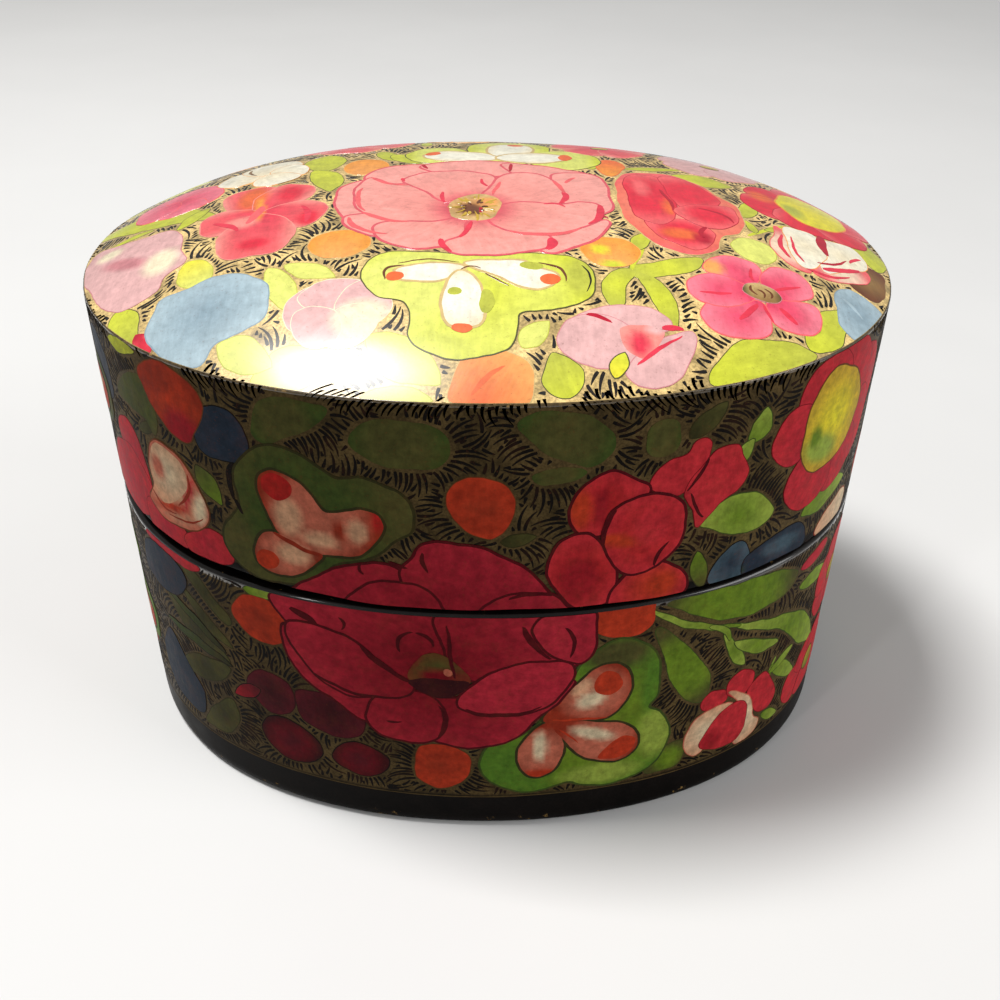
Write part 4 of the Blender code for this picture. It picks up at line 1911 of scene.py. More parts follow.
    striped_tulip = (
        blots(Wash(Paint.CREAM, Paint.SALMON_PALE, Paint.CORAL, Paint.CORAL, 0.1),
            (34.8, -5.4, 33.8, -8, 32.6, -12, 33.8, -14.8, 36.4, -15.9, 36.4, -11),
            (45.2, -10.6, 44, -13.4, 41, -15.4, 37.4, -16, 37, -14.4, 40, -12.6, 43, -10.4))
        + blots(CREAM_WASH,
            (40, -6.4, 42, -5, 44.8, -4.6, 45.6, -7, 45, -10, 42, -12.4, 38.6, -14.6, 38.6, -11),
            (35.6, -5.2, 37.6, -4.6, 39.4, -5.2, 40, -8.6, 39.2, -11.6, 37, -14.8, 35.2, -14.6, 35, -10))
        + touches(STRIPE_WASH, (0.9, 38.4, -14, 41, -12.8, 44, -11),
            (0.6, 34.4, -13.6, 34, -11, 34.8, -7.6), (0.4, 36.2, -14, 35.6, -11, 36, -7.4),
            (0.5, 43, -10, 43.8, -8.6, 45, -7.4), (0.5, 36, -15.2, 39, -15.2, 42, -13.8))
        + touches(CRIMSON_TOUCH, (1.3, 40.4, -4.6, 40, -7, 39.9, -10.2),
            (0.4, 38, -13, 40.6, -11.6, 42.6, -9.6))
    )
    sunny_red = (
        flower(lit(replace(CRIMSON_WASH, root=Paint.CRIMSON), (Paint.VERMILION, 35, 5.4, 1.6, 2)),
            (40.6, 3.4), (43.6, 14.4, 10), (34.6, 9.6, 7.6), (32.2, 0.6, 9), (38.6, -4.6, 8.6),
            (46.4, -3.2, 8), (49.2, 6.4, 8.6), belly=0.62)
        + petals(lit(Wash(Paint.YELLOW, Paint.YELLOW, Paint.AMBER, line_width=0.24),
            (Paint.LEAF, 38.6, 2.4, 1.4, 2.4)), (40, -1.6, 43.4, 11.4, 8.8), belly=0.52, root=0.95)
    )
    # the pale lime patch on the left of this cloud, towards the varnish's glare, is partly a painted
    # highlight
    cloud_right = lit(replace(CLOUD_WASH, root=Paint.LIME), (Paint.LEAF, 9.4, -22.6, 1.6, 3.4),
        (Paint.LIME_PALE, -9, -24, 7, 6))
    white_trefoil = (
        blots(cloud_right, (-13.4, -19.8, -14, -22.6, -12.4, -25.8, -9.4, -27.2, -8.6, -29.4, -8.4, -32.2,
            -6, -34.2, -2, -34.7, 1.4, -33.4, 2.5, -31, 2.8, -28.8, 6.4, -28.4, 10, -26.4, 11, -23,
            9.8, -20, 6.6, -18.6, 0, -18.8, -6, -18.4, -10.6, -18))
        + touches(INK_TOUCH, (0.22, 9.6, -20.6, 10.6, -23.2, 9.8, -25.4))
        + touches(UMBER_TOUCH, (0.36, -9.4, -20.8, -11.6, -21.6, -11.4, -23.4),
            (0.36, 5, -20.4, 7.6, -21.8, 7.8, -24), (0.24, -10.2, -20.4, -6.6, -19.8, -3.6, -20.4))
        + blots(WHITE_WASH,
            (-3, -21.6, -4.8, -20.6, -8, -20.9, -10.4, -21.6, -9.8, -23.4, -7, -23.9, -4.6, -23.2),
            (-3, -20.6, 0, -20.1, 3, -20.2, 5, -21.4, 7, -22.8, 5.4, -25, 2.6, -24.6, 0.4, -22.8,
            -1.6, -21.8), (-3.2, -22.2, -1.6, -24, -1.2, -26.5, -0.9, -29, -1.6, -30.6, -4.6, -30.6,
            -5.2, -28, -5, -25, -4.2, -23))
        + rounds(CAP_WASH, (-10.5, -22.8, 1.9, 1.7), (6.1, -23.5, 2.3, 2), (-3.3, -31, 2.2, 1.2))
        + rounds(TINT_WASH, (4.3, -21.1, 2.6, 1.5), (-4.1, -25.8, 1.5, 1.3), (-0.7, -27.2, 1.6, 3.8))
        + touches(UMBER_TOUCH, (0.2, -3.4, -22, -2.6, -21.4, -1.2, -21.8),
            (0.2, -0.8, -22.6, 0.6, -23.8, 1.8, -25))
    )
    orange_bud = blots(Wash(Paint.VERMILION, Paint.APRICOT, Paint.GILT, line_width=0.1),
        (-4.4, -38.9, -3.4, -35, -1, -33.5, 1.6, -34, 3.9, -36, 3.4, -39.1, 0, -39.6), heart=(-1.4, -39),
        reach=6)
    return [
        Motif("orange_bud", orange_bud + touches(CAP_WASH, (0.5, -2.4, -38.6, -0.6, -36.6, 1.2, -35.4))),
        Motif("blue_left", blots(SKY_WASH, (-36.2, -20.9, -33.2, -20.6, -30.6, -19.3, -27, -20.1,
            -24.2, -22.8, -23.9, -27, -26, -28.8, -29, -29.6, -30.6, -31.8, -34, -30.2, -37, -26.4,
            -36.8, -23))),
        Motif("blue_right", blots(SKY_WASH,
            (38.5, -21, 39.2, -18, 41.2, -16.7, 43.8, -17.6, 44.8, -20.2, 43, -23, 40.6, -25.4, 38.4, -24))
            + touches(plain(Paint.SKY_PALE), (0.5, 39.8, -19, 40.6, -19.8, 41.6, -21.4))),
        Motif("mauve_left", mauve_left), Motif("mauve_mid", mauve_mid), Motif("coral_left", coral_left),
        Motif("crimson_right", crimson_right), Motif("five_petal", five_petal),
        Motif("sunny_red", sunny_red), Motif("striped_tulip", striped_tulip),
        Motif("mauve_tulip", mauve_tulip), Motif("white_trefoil", white_trefoil),
    ]


def crown_back() -> list[Motif]:
    """Return the flowers of the crown's back half, partly hidden in the photograph.

    Returns:
        The motifs, in painter's order.
    """
    eye = Wash(Paint.UMBER, Paint.YELLOW, Paint.UMBER)
    back_trefoil = (
        rounds(CLOUD_WASH, (-6.6, 14.8, 8.6), (2.8, 18.6, 11), (9.8, 12.8, 9.6), (1.6, 13.8, 9))
        + petals(WHITE_WASH, (1.2, 13, -8.4, 14.6, 5), (2, 13.4, 3.8, 21.6, 6), (1, 13, 10.2, 13.4, 5),
            belly=0.6)
        + petals(CAP_WASH, (-6.6, 14.8, -8.2, 15.8, 2.2), (3.6, 20.2, 4, 21.8, 2.2),
            (10, 12, 10.2, 15.2, 1.8), belly=0.5)
    )
    return [
        Motif("pink_back", flower(PINK_WASH, (-39.4, 5.2), (-44.8, 8, 6.6), (-38.2, 11, 7), (-34, 5, 6.6),
            (-37.8, 0.2, 6.4), (-44.4, 2.2, 6), belly=0.64)),
        Motif("cream_back", petals(CREAM_WASH, (-29, 9.8, -35.2, 10.6, 7.2), (-29, 9.8, -28.6, 17.2, 8),
            (-28.4, 9.8, -23.8, 11.6, 6.4), (-28.6, 10, -26.4, 5.4, 6.2), belly=0.62) + touches(BRONZE_WASH,
            (0.45, -31.8, 15, -31.6, 13, -30.4, 10.8))),
        Motif("back_trefoil", back_trefoil),
        bloom("pink_far", (15.6, 21.6), 6.4, 5, CORAL_WASH, eye, 20),
        bloom("coral_far", (-18.4, 26.4), 8.4, 5, CORAL_WASH, eye, 50),
        bloom("mauve_far", (30.4, 17.2), 7.4, 5, MAUVE_WASH, eye, 10),
        bloom("cream_far", (-3.6, 29.6), 5.4, 5, CREAM_WASH, eye, 0),
        bloom("blue_far", (27.2, 27.2), 4.8, 4, SKY_WASH, eye, 30),
    ]


def crown_motifs() -> list[Motif]:
    """Return everything painted on the crown, on its plan, from the leaves up to the great rose.

    Returns:
        The motifs, in painter's order.
    """
    rim_leaves = (
        leaves(LIME_WASH, (-50.4, 3.4, -32.6, -4.4, 5.4, 0.05), (-41.8, -20.2, -38.4, -26.4, 3.4),
            (22, -35.4, 34.6, -29.2, 4.8, 0.04), (33.8, -28.8, 39.2, -21.4, 4.2),
            (46.8, -8.4, 47.6, 0.4, 4.6), (7.6, -38.6, 6, -33.8, 4.2))
        # the pale lime leaves at the front left lie in the varnish's glare: their paleness there is partly a
        # painted highlight
        + leaves(LIME_PALE_WASH, (-24.6, -35, -15.4, -34.4, 5.2, 0.06), (-13, -31.6, -5.4, -37.2, 4.6),
            (-28.6, -29.8, -22.6, -33.8, 3.8), (-13.4, -38.2, -6, -38.8, 2.6),
            (2.8, -33.4, 5.6, -30.2, 2.6))
        + leaves(CRIMSON_WASH, (-38.4, -25.2, -36.4, -28.4, 2))
        + leaves(LEAF_WASH, (-41.2, -2.8, -46.6, -3.4, 1.2))
        + petals(Wash(Paint.YELLOW, Paint.LIME_PALE, Paint.LEAF, line_width=0.1),
            (-34.2, -14.8, -32, -20.4, 3.9))
        + blots(BRONZE_WASH,
            (43.2, -9.6, 45, -8.6, 47.6, -8.8, 46.8, -13, 44.8, -16.6, 42, -16, 41.4, -13.6))
    )
    inner_leaves = (
        blots(replace(LIME_WASH, joined=True), (15.2, -20.2, 17.6, -19.3, 20.4, -18.1, 23.4, -17.3,
            23, -19.2, 20.6, -21, 17.2, -22.3, 15.2, -22.2),
            (15.4, -21.4, 17.2, -22, 18.8, -24.4, 19.6, -27, 19, -29.6, 17.8, -28.4, 16.6, -25),
            (15.6, -21.4, 14.4, -23.6, 13.8, -26.8, 12.2, -27.4, 11.6, -25, 12.6, -22, 14.6, -20.8))
        + touches(SPRIG_WASH, (0.9, 17.6, -13.6, 16.2, -17.6, 15.2, -21),
            (0.7, 30.2, -10, 32.8, -7.4, 36.2, -4.4))
        + leaves(LEAF_WASH, (16, -16.8, 17.9, -12.2, 2), (31.4, -8.8, 30.7, -5.4, 1.2),
            (32.6, -7.4, 36, -6.2, 1.1), (30.8, -4.6, 32.8, 1.4, 2.4), (-14.4, 17.6, -12.4, 12.2, 2.8),
            (17.6, 9.4, 25.4, 11.4, 1.6), (-34.6, -0.4, -37.6, -5.6, 2.2))
        + petals(LIME_PALE_WASH, (30.8, -16.6, 29.6, -10.8, 5), blunt=0.8, root=0.8)
        + leaves(LIME_WASH, (-21.8, 17.2, -21.4, 8.4, 5.6), (-22.6, 9.4, -19.8, 0.4, 4.2, 0.08),
            (-12.8, 15.4, -8.8, 10.6, 3.4), (23.2, 7.6, 31.6, 7.2, 4.8), (12.6, 13.4, 13.4, 8.4, 3.6))
        # these pale lime leaves lie near the varnish's glare: their paleness is partly a painted highlight
        + leaves(LIME_PALE_WASH, (-24.4, -19.4, -20.8, -27.6, 3), (-22.6, -19.4, -16.8, -22.4, 2.6))
    )
    berries = (
        rounds(BERRY_WASH, (-17, -15.5, 6.6), (-15.9, 9.9, 5.8, 6.8), (2.6, 32.8, 6), (-34.6, 21.6, 4.6),
            (40.6, 17.6, 4.4))
        + rounds(lit(BERRY_WASH, (Paint.LIME, 13.2, -20.4, 1.4, 1), (Paint.YELLOW, 12, -17, 1, 1)),
            (13.2, -17.4, 6.4, 6.6))
        + petals(BUD_WASH, (15.4, 6, 16.2, 13.4, 3.4))
    )
    return [
        Motif("rim_leaves", rim_leaves), Motif("inner_leaves", inner_leaves), Motif("berries", berries),
        *crown_front(), *crown_back(), Motif("great_rose", crown_rose()),
    ]


def lid_rose() -> tuple[Shape, ...]:
    """Return the great rose of the front, as far as it reaches up the lid.

    Returns:
        Its shapes, in painter's order.
    """
    return (
        blots(MADDER_WASH,
            (-22.4, 37.2, -19.4, 39.4, -15.4, 41.6, -11.6, 42, -9.4, 41, -8.4, 39, -8, 35, -22, 35),
            (-10.2, 41, -8.6, 43.4, -7.9, 45, -5.4, 45.5, -1.6, 45, 2, 43.2, 4.6, 41, 6.2, 38.4, 8, 35.4,
            -6, 35, -8.6, 37.6), (-16.2, 36, -14.4, 38.6, -11.4, 39.8, -8, 39.2, -6, 37.2, -6.4, 35),
            (-1.2, 36.6, 1.4, 38.2, 4.4, 38.7, 7, 37.9, 8.2, 35, -1, 35), heart=(-6, 28), reach=22)
        + touches(MADDER_TOUCH, (0.5, -7.7, 44.2, -7.6, 42.8, -6.9, 41.4),
            (0.35, -14.7, 42.2, -14.8, 41.2, -14.2, 40.4), (0.5, -11.4, 42.6, -10.2, 42.2, -9.2, 42),
            (0.5, 1.8, 37.8, 4.2, 38.7, 6.6, 38.2))
    )


def body_rose() -> tuple[Shape, ...]:
    """Return the great rose of the front, below the seam.

    Returns:
        Its shapes, in painter's order.
    """
    bright = replace(MADDER_WASH, root=Paint.MADDER_PALE)
    far = (-6.4, 26.2)
    petals_behind = blots(MADDER_WASH, (-24.8, 31, -24.8, 27, -23.6, 23.8, -21.4, 21.8, -18.6, 20,
        -15.4, 17.6, -13, 18.6, -13, 25, -19, 30),
        (-24.6, 36, -24.6, 32, -21, 31, -16.6, 29.6, -13, 27, -9, 25, -5, 30, -4.6, 36),
        (-5.4, 36, -5.2, 30, -4, 26.6, -1, 25.6, 2, 27.8, 7, 28.4, 9.6, 27.4, 11, 30, 10.4, 36),
        (-7.6, 22.4, -6.4, 18.4, -7, 15.6, -2.8, 14.6, 0.8, 15.2, 3.4, 16.8, 6, 19.8, 8.4, 22.4, 9.6, 25.2,
        5, 22.4, -2, 22.6), heart=far, reach=17)
    petals_before = (
        blots(MADDER_WASH, (-15.2, 18.4, -13.6, 16, -10.4, 15, -7.2, 15.6, -5.5, 18, -5.8, 20.6, -7, 22.6,
            -9.8, 23.4, -13.8, 21.8), (-24.6, 29.6, -24, 31.6, -21.4, 31.8, -18, 31.2, -15, 29.4,
            -12.4, 26.8, -9.4, 24.6, -10.4, 22.8, -14, 22, -17.6, 21.8, -20.6, 23.4, -23, 26.6), heart=far,
            reach=17)
        + blots(bright, (7.4, 36, 4.6, 33.6, 6.2, 30.4, 8.6, 28.4, 10.8, 28, 11.9, 30.6, 11.3, 36),
            (-4, 21.8, -2.4, 24.6, 0.5, 27.1, 4, 28.2, 8, 28.2, 9.6, 26.8, 8.6, 23.6, 6.2, 21, 1.4, 20,
            -2.4, 20.6), heart=far, reach=15)
    )
    eye_paint = lit(Wash(Paint.MOSS, Paint.UMBER, Paint.MOSS, line_width=0, mottle=Paint.MADDER_DEEP),
        (Paint.MADDER_DEEP, -6.4, 26.2, 2, 1.1))
    eye = blots(eye_paint,
        (-9.6, 25.4, -9.2, 28, -7.6, 29.6, -5.4, 29.4, -3.6, 27.8, -2.6, 25.2, -5.8, 24.4))
    return (
        petals_behind
        + petals_before
        + eye
        + blots(plain(Paint.BURGUNDY_DEEP),
            (-9.8, 25.2, -6.4, 25.8, -2.8, 25.4, -3.4, 23.8, -5.4, 22.8, -8.2, 23.4))
        + rounds(plain(Paint.FLESH), (-5.2, 26.9, 1.1, 1.2))
        + touches(MADDER_TOUCH, (0.9, -23.8, 33.8, -22.4, 33.2, -20.4, 31.8),
            (0.4, -17.7, 33.8, -17.2, 33, -17.6, 31.8), (0.8, -15.4, 30, -13, 27.4, -9.6, 25),
            (0.35, -12.9, 18.3, -12, 18.1, -10.9, 18.3), (0.7, 3.4, 34, 4.6, 31.4, 7, 28.8),
            (0.5, -22, 24.6, -17, 22.2, -11, 22.4), (0.6, -3.2, 21, 1.6, 20, 6, 21.2),
            (0.5, -10.8, 29.4, -10.6, 31.6, -9, 32.8), (0.45, -8.8, 32.8, -7.2, 32, -6.6, 30.6),
            (0.5, -4.4, 26, -4.8, 30, -5.2, 34), (0.5, 8.4, 33.6, 9.4, 31.2, 9.2, 28.6),
            (0.5, -6.6, 16, -5.6, 18.4, -6.4, 21.6))
    )


def lid_cloud() -> tuple[Shape, ...]:
    """Return the green trefoil on the front of the lid.

    Returns:
        Its shapes, in painter's order.
    """
    flesh = lit(FLESH_WASH, (Paint.FLESH_PALE, -22.6, 46.8, 1.6, 2.4), (Paint.SCARLET, -12.3, 48, 0.8, 1.6),
        (Paint.FLESH_PALE, -14.7, 46.2, 1.1, 1.5), (Paint.FLESH_PALE, -19, 44.4, 2, 1),
        (Paint.FLESH_PALE, -22.4, 41.8, 2, 1.4), (Paint.RUST, -16.8, 46, 0.5, 1.6))
    return (
        blots(lit(MOSS_WASH, (Paint.OLIVE, -30, 42, 2.6, 4)), (-28.5, 47, -28.8, 50.4, -27.4, 53.4,
            -24.8, 55.2, -21.4, 55.4, -18.6, 53.8, -16.4, 52.8, -13.6, 53, -10.4, 51.8, -8.7, 49.8,
            -8.7, 47.2, -10.6, 45.6, -12.6, 43.4, -17, 41.6, -19.4, 39.4, -22, 37.8, -26, 37.2, -29.4, 38,
            -31.2, 40.4, -31.1, 43.4, -29.6, 45.2))
        + touches(INK_TOUCH, (0.7, -28.6, 52.4, -29.6, 50, -29.2, 47.4),
            (0.5, -29.2, 47.6, -28.6, 46.6, -28.2, 45.6))
        + blots(flesh, (-25.8, 49, -25.5, 51.4, -23.8, 52.5, -21.4, 51.9, -19.6, 50, -18.2, 48.4, -16, 48.6,
            -13.8, 49.2, -12.2, 48.6, -11.9, 46.8, -13, 44.6, -15, 43, -18.6, 42.4, -21, 42.6, -23.4, 43.8,
            -25, 46.4), (-27, 42.4, -25.4, 44.2, -23.6, 44.2, -21.6, 43.2, -18.8, 42.3, -20.8, 40.2,
            -23, 38.6, -25.4, 38.5, -27.2, 40))
        + rounds(plain(Paint.SCARLET), (-23.6, 50.5, 3.5, 3.4))
        + rounds(FLAME_CAP, (-25.8, 40.3, 2.8, 2.8))
        + touches(RUST_TOUCH, (0.6, -24.6, 44.4, -21.6, 42.9, -18.8, 42.3))
    )


def body_cloud() -> tuple[Shape, ...]:
    """Return the green trefoil at the right of the body's front.

    Returns:
        Its shapes, in painter's order.
    """
    green = lit(GRASS_WASH, (Paint.FERN, 2.6, 10.6, 4.4, 4.6), (Paint.SPRIG, 21, 14.4, 2.4, 4.4),
        (Paint.OLIVE, 15, 28.4, 4, 2.4), (Paint.SPRIG, 14, 8.4, 5, 1.8), (Paint.FERN, 19.6, 22, 1.2, 4))
    flesh = lit(FLESH_WASH, (Paint.IVORY, 12, 21.6, 1.8, 1.2, 20),
        (Paint.FLESH_PALE, 10.8, 23.8, 1.6, 1, 50), (Paint.IVORY, 6, 14.4, 0.8, 2.4),
        (Paint.FLAME, 6.3, 9.6, 2, 0.9), (Paint.IVORY, 12.6, 15.8, 2.8, 0.9, -22),
        (Paint.RUST, 9, 18.6, 2, 0.5))
    return (
        blots(green, (-1.2, 11, -0.8, 13.8, 1, 15.4, 4.6, 17, 8, 21, 9.6, 25.4, 11.2, 28.2, 13.4, 30.2,
            16, 30.6, 18.4, 29.2, 20, 26.6, 20.6, 23.4, 20.4, 20.6, 19.6, 18.8, 21.4, 17.2, 22.6, 14.6,
            22.7, 11.4, 21.2, 8.6, 18.6, 6.9, 15, 6.3, 11.6, 6.8, 9.8, 7.8, 6.6, 6.6, 3, 6.7, 0.2, 8.4))
        + blots(flesh, (6.4, 18.6, 8, 22, 10.4, 24.8, 12.4, 26.6, 15, 26.9, 16.6, 25.4, 16.9, 22.6,
            16, 19.8, 14, 18.4, 10, 18.2), (7.4, 18.4, 5.2, 17.2, 3.7, 14.8, 3.3, 11.8, 4.4, 9.7, 6.1, 9.1,
            7.9, 10.2, 8.9, 12.6, 8.6, 15.8), (7.6, 18.2, 11, 18.1, 15, 17.2, 17.5, 15.8, 18.7, 13.4,
            18.2, 11.5, 16, 10.4, 13.2, 11, 10.4, 13, 8.8, 15.4))
        + rounds(FLAME_CAP, (14, 24, 3.6, 3.8))
        + blots(FLAME_CAP, (13.4, 11.2, 14.6, 13, 16.8, 14.6, 18.4, 13.6, 17.8, 11.8, 15.8, 10.8))
        + touches(FLAME_CAP, (0.35, 7.4, 18.9, 10.6, 18.5, 14.2, 18.4),
            (0.35, 8.2, 21.4, 8.4, 22.4, 9, 23.2), (0.3, 8.4, 17.2, 9.4, 16, 10.8, 14.4))
    )


def lid_wall_motifs() -> list[Motif]:
    """Return the flowers of the lid's wall, on its plan, leaves first.

    Returns:
        The motifs, in painter's order.
    """
    four_lobe = (
        blots(lit(SCARLET_WASH, (Paint.FLAME, 9.2, 49.6, 1.2, 2.6), (Paint.MADDER, 11.6, 49.8, 0.8, 2.6)),
            (8.2, 50, 9.8, 52.8, 12.4, 54, 15, 52.8, 16.6, 51, 14, 47.6, 11.6, 46.2, 9.6, 46.4, 8.3, 48.2))
        + blots(lit(SCARLET_WASH, (Paint.MADDER, 9.4, 40, 2.4, 3.4)), (8, 46, 10.4, 46.2, 12.4, 44,
            13.6, 40.5, 13.5, 37.6, 12, 36.2, 9.6, 36.3, 7.6, 38.2, 6.2, 41.2, 6.5, 44.4))
        + blots(lit(replace(SCARLET_WASH, root=Paint.FLAME), (Paint.FLAME, 19.6, 38.2, 1.6, 1.8)),
            (13.2, 36, 14.2, 39.2, 16, 41, 19, 41.2, 21.6, 39.6, 22.4, 37.2, 21.2, 35.6, 17, 35.4))
        + blots(lit(SCARLET_WASH, (Paint.FLAME, 13.4, 45.2, 0.8, 3, 80), (Paint.RED, 17.4, 46.4, 2.2, 2.6)),
            (12, 46.6, 12.9, 49, 15, 50.3, 18.5, 50.4, 20.7, 48.6, 21.3, 45.5, 20.4, 43, 18.5, 41, 16, 40.4,
            14, 41, 12.7, 43.5))
        + touches(MADDER_TOUCH, (0.5, 18.2, 40.8, 18.6, 42.6, 19.6, 44),
            (0.4, 13.4, 49.4, 12.2, 47.4, 12.2, 45))
    )
    tulip = (
        blots(TULIP_WASH, (16.6, 51.8, 18.4, 54.4, 20.6, 55.2, 21.3, 56.4, 22.4, 56.8, 23.4, 56, 23.2, 54.4,
            22.4, 51.8, 20.6, 50.2, 18.4, 50.3), (20.8, 50, 22.6, 53.2, 24.4, 55, 26.8, 55.1, 27.7, 53.2,
            28.6, 51.2, 27.8, 49.2, 25.4, 47.8, 24, 46.2, 23, 45.2, 22.2, 47.4))
        + touches(MADDER_TOUCH, (0.45, 23.2, 54.2, 22.4, 52, 21, 50.2),
            (0.4, 21.6, 50, 22.6, 47.6, 23.6, 46.4))
    )
    left_tulip = blots(lit(FLAME_WASH, (Paint.MADDER, -35.4, 54.6, 2.6, 2.2),
        (Paint.RUST, -38, 60, 2, 1.6)), (-41.6, 60, -39, 61.8, -36, 62, -33.2, 60.8, -31.6, 58.6, -33, 55.6,
        -34.6, 53, -37, 53.4, -39.6, 55.6, -40.8, 58))
    crimson_left = (
        blots(RED_WASH,
            (-50.4, 47.4, -49.8, 50.2, -47.4, 51.4, -45, 49.8, -43.8, 46.4, -44, 42.4, -47.4, 43.4),
            (-44.4, 45, -48, 47.4, -52.4, 46, -56, 42.4, -56.4, 39, -52, 37.4, -46.6, 38, -43, 40.6),
            (-45.6, 40.8, -42.4, 42, -38.6, 40.6, -37.4, 38.2, -40, 36.8, -45, 37.2),
            (-38, 39.2, -35.4, 41.2, -32.6, 41.8, -30.8, 40.6, -31, 38, -34, 37.2, -37.4, 37.4))
        + blots(lit(Wash(Paint.FLESH_PALE, Paint.FLESH_PALE, Paint.UMBER, Paint.FLESH, 0.2),
            (Paint.FLAME, -39.6, 42.6, 3.4, 0.8, 14), (Paint.RED, -36.2, 45.6, 0.6, 3, -24),
            (Paint.IVORY, -34.6, 44.2, 0.9, 2.2, -16)), (-42.8, 44.6, -42.8, 47.4, -42, 50, -40, 51.3,
            -37.4, 50.8, -35.2, 48.8, -33.8, 45.8, -33.4, 43.2, -35, 41.4, -38.4, 40.2, -41.6, 40.2,
            -44.2, 41.6, -43.6, 43))
        + blots(lit(Wash(Paint.IVORY, Paint.FLESH_PALE, Paint.RUST, line_width=0),
            (Paint.FLESH, -41, 47.6, 1.2, 1.6)), (-42.5, 46.4, -42.2, 49, -40.6, 50.8, -38.4, 50.8,
            -36.5, 49.6, -36, 47.8, -36.8, 45.6, -38.8, 43.6, -41.8, 42.8))
        + touches(RUST_TOUCH, (0.3, -43.4, 43.4, -42, 42.2, -39, 41.8),
            (0.25, -34.2, 43, -37, 41.6, -40.6, 41.2), (0.4, -35.7, 48.6, -36.2, 45.8, -38.4, 43.2))
    )
    sunny_red = (
        flower(RED_WASH, (41.4, 52.6), (52.6, 57, 11), (46.4, 62.2, 10), (51.6, 48.6, 10), (38, 62.2, 9),
            (31.7, 54.4, 7.4), (46.6, 44, 9), (37.6, 42.9, 8.4), belly=0.62)
        + blots(lit(Wash(Paint.YELLOW, Paint.MUSTARD, Paint.UMBER, Paint.MUSTARD, 0.2),
            (Paint.SPRIG, 40, 50.4, 3.2, 1.8, -20), (Paint.GRASS, 38.6, 52.4, 1, 1.4)), (36.5, 55,
            37.6, 58.6, 40, 60.5, 43, 59.9, 46, 57.8, 47.8, 54.4, 47.2, 51, 44.8, 48.4, 41.4, 47.3,
            38.4, 48, 36.6, 50.8))
    )
    blue_pair = (
        blots(SLATE_WASH, (25.4, 37, 26.4, 39.8, 28.4, 41.3, 30, 41, 30.8, 39, 30.4, 36.2, 27, 35.9))
        + blots(lit(DUSK_WASH, (Paint.MOSS, 27.6, 37, 2.4, 1.2), (Paint.SLATE, 36, 38.6, 3, 1.2)),
            (30.4, 38.8, 34, 40.1, 37.4, 40.9, 39.9, 39.4, 40.4, 36.6, 35, 35.9, 30.8, 36))
    )
    dull = (
        blots(DULL_LEAF,
            (-25.8, 56.8, -25, 60.2, -22.4, 61.6, -17.2, 61.2, -18.4, 58.8, -21.8, 57, -24, 55.6),
            (-14.8, 58.4, -13, 60, -9, 60.5, -5.2, 59.4, -4.4, 57, -6.6, 54.9, -11.6, 55, -14.4, 56.6),
            (2.4, 60.6, 5, 61.8, 9, 61.2, 12, 59, 12.3, 56.4, 9.8, 55, 6, 56.4, 3.6, 58.4),
            (4, 54.2, 6, 55, 9.6, 54.6, 8, 53.2, 5.2, 53))
        + leaves(OLIVE_WASH, (-40.4, 53, -43.6, 51.6, 1.6), (20.8, 57.2, 24.6, 60.6, 2.6),
            (0.8, 45.8, 4.6, 46.4, 1.6), (-55, 49.6, -62, 45.2, 4.2))
        + rounds(DULL_LEAF, (17.7, 57.5, 4.1, 4.7))
    )
    fresh = (
        blots(Wash(Paint.OLIVE, Paint.MOSS, Paint.OLIVE_DARK, Paint.OLIVE, 0), (-40.6, 58.8, -43, 58.8,
            -46.4, 57, -47.8, 54.6, -44.6, 53.8, -42, 53.6, -40.4, 51.8, -39.6, 54.6))
        + blots(FRESH_LEAF, (23.4, 45.6, 25.2, 47.5, 28, 48.4, 30.8, 47.6, 33.4, 44.9, 32.6, 43.3, 30, 42.5,
            27.2, 43.3, 24.6, 44.6))
        + leaves(FRESH_LEAF, (28.2, 54.8, 30, 58.8, 2.6, -0.1), (26.8, 52.2, 28.8, 55.2, 2),
            (38.8, 41.4, 48.8, 42.6, 3.6, 0.05))
        + leaves(Wash(Paint.OLIVE, Paint.GRASS, Paint.OLIVE_DARK), (24.6, 36.4, 23.4, 41.6, 2.2),
            (-34.2, 50.4, -31, 46, 2.6))
        + leaves(LIME_WASH, (-47.6, 61.4, -41.6, 61.8, 1.8))
        + petals(IVORY_WASH, (43, 36.9, 51.4, 38.6, 4.4))
    )
    blues = petals(DUSK_WASH, (-33, 53, -27.2, 57.6, 6.6), (-50.4, 52.6, -57.6, 58.6, 8.4))
    berry = blots(RUST_WASH, (-4.9, 51.2, -3.8, 53.4, -1.4, 54.1, 0.9, 53.2, 2.2, 51, 1.9, 48.5, 0.3, 46.5,
        -0.8, 46.2, -2.7, 47.2, -4.5, 49.1))
    return [
        Motif("dull_leaves", dull), Motif("fresh_leaves", fresh), Motif("blue_leaves", blues + blue_pair),
        Motif("berries", berry + rounds(RUST_WASH, (-58.8, 39.6, 6.2), (57.4, 41.6, 6.6))),
        Motif("left_tulip", left_tulip), Motif("crimson_left", crimson_left),
        Motif("green_cloud", lid_cloud()), Motif("tulip", tulip), Motif("sunny_red", sunny_red),
        Motif("great_rose", lid_rose()), Motif("four_lobe", four_lobe),
    ] + far_motifs(Body.LID)


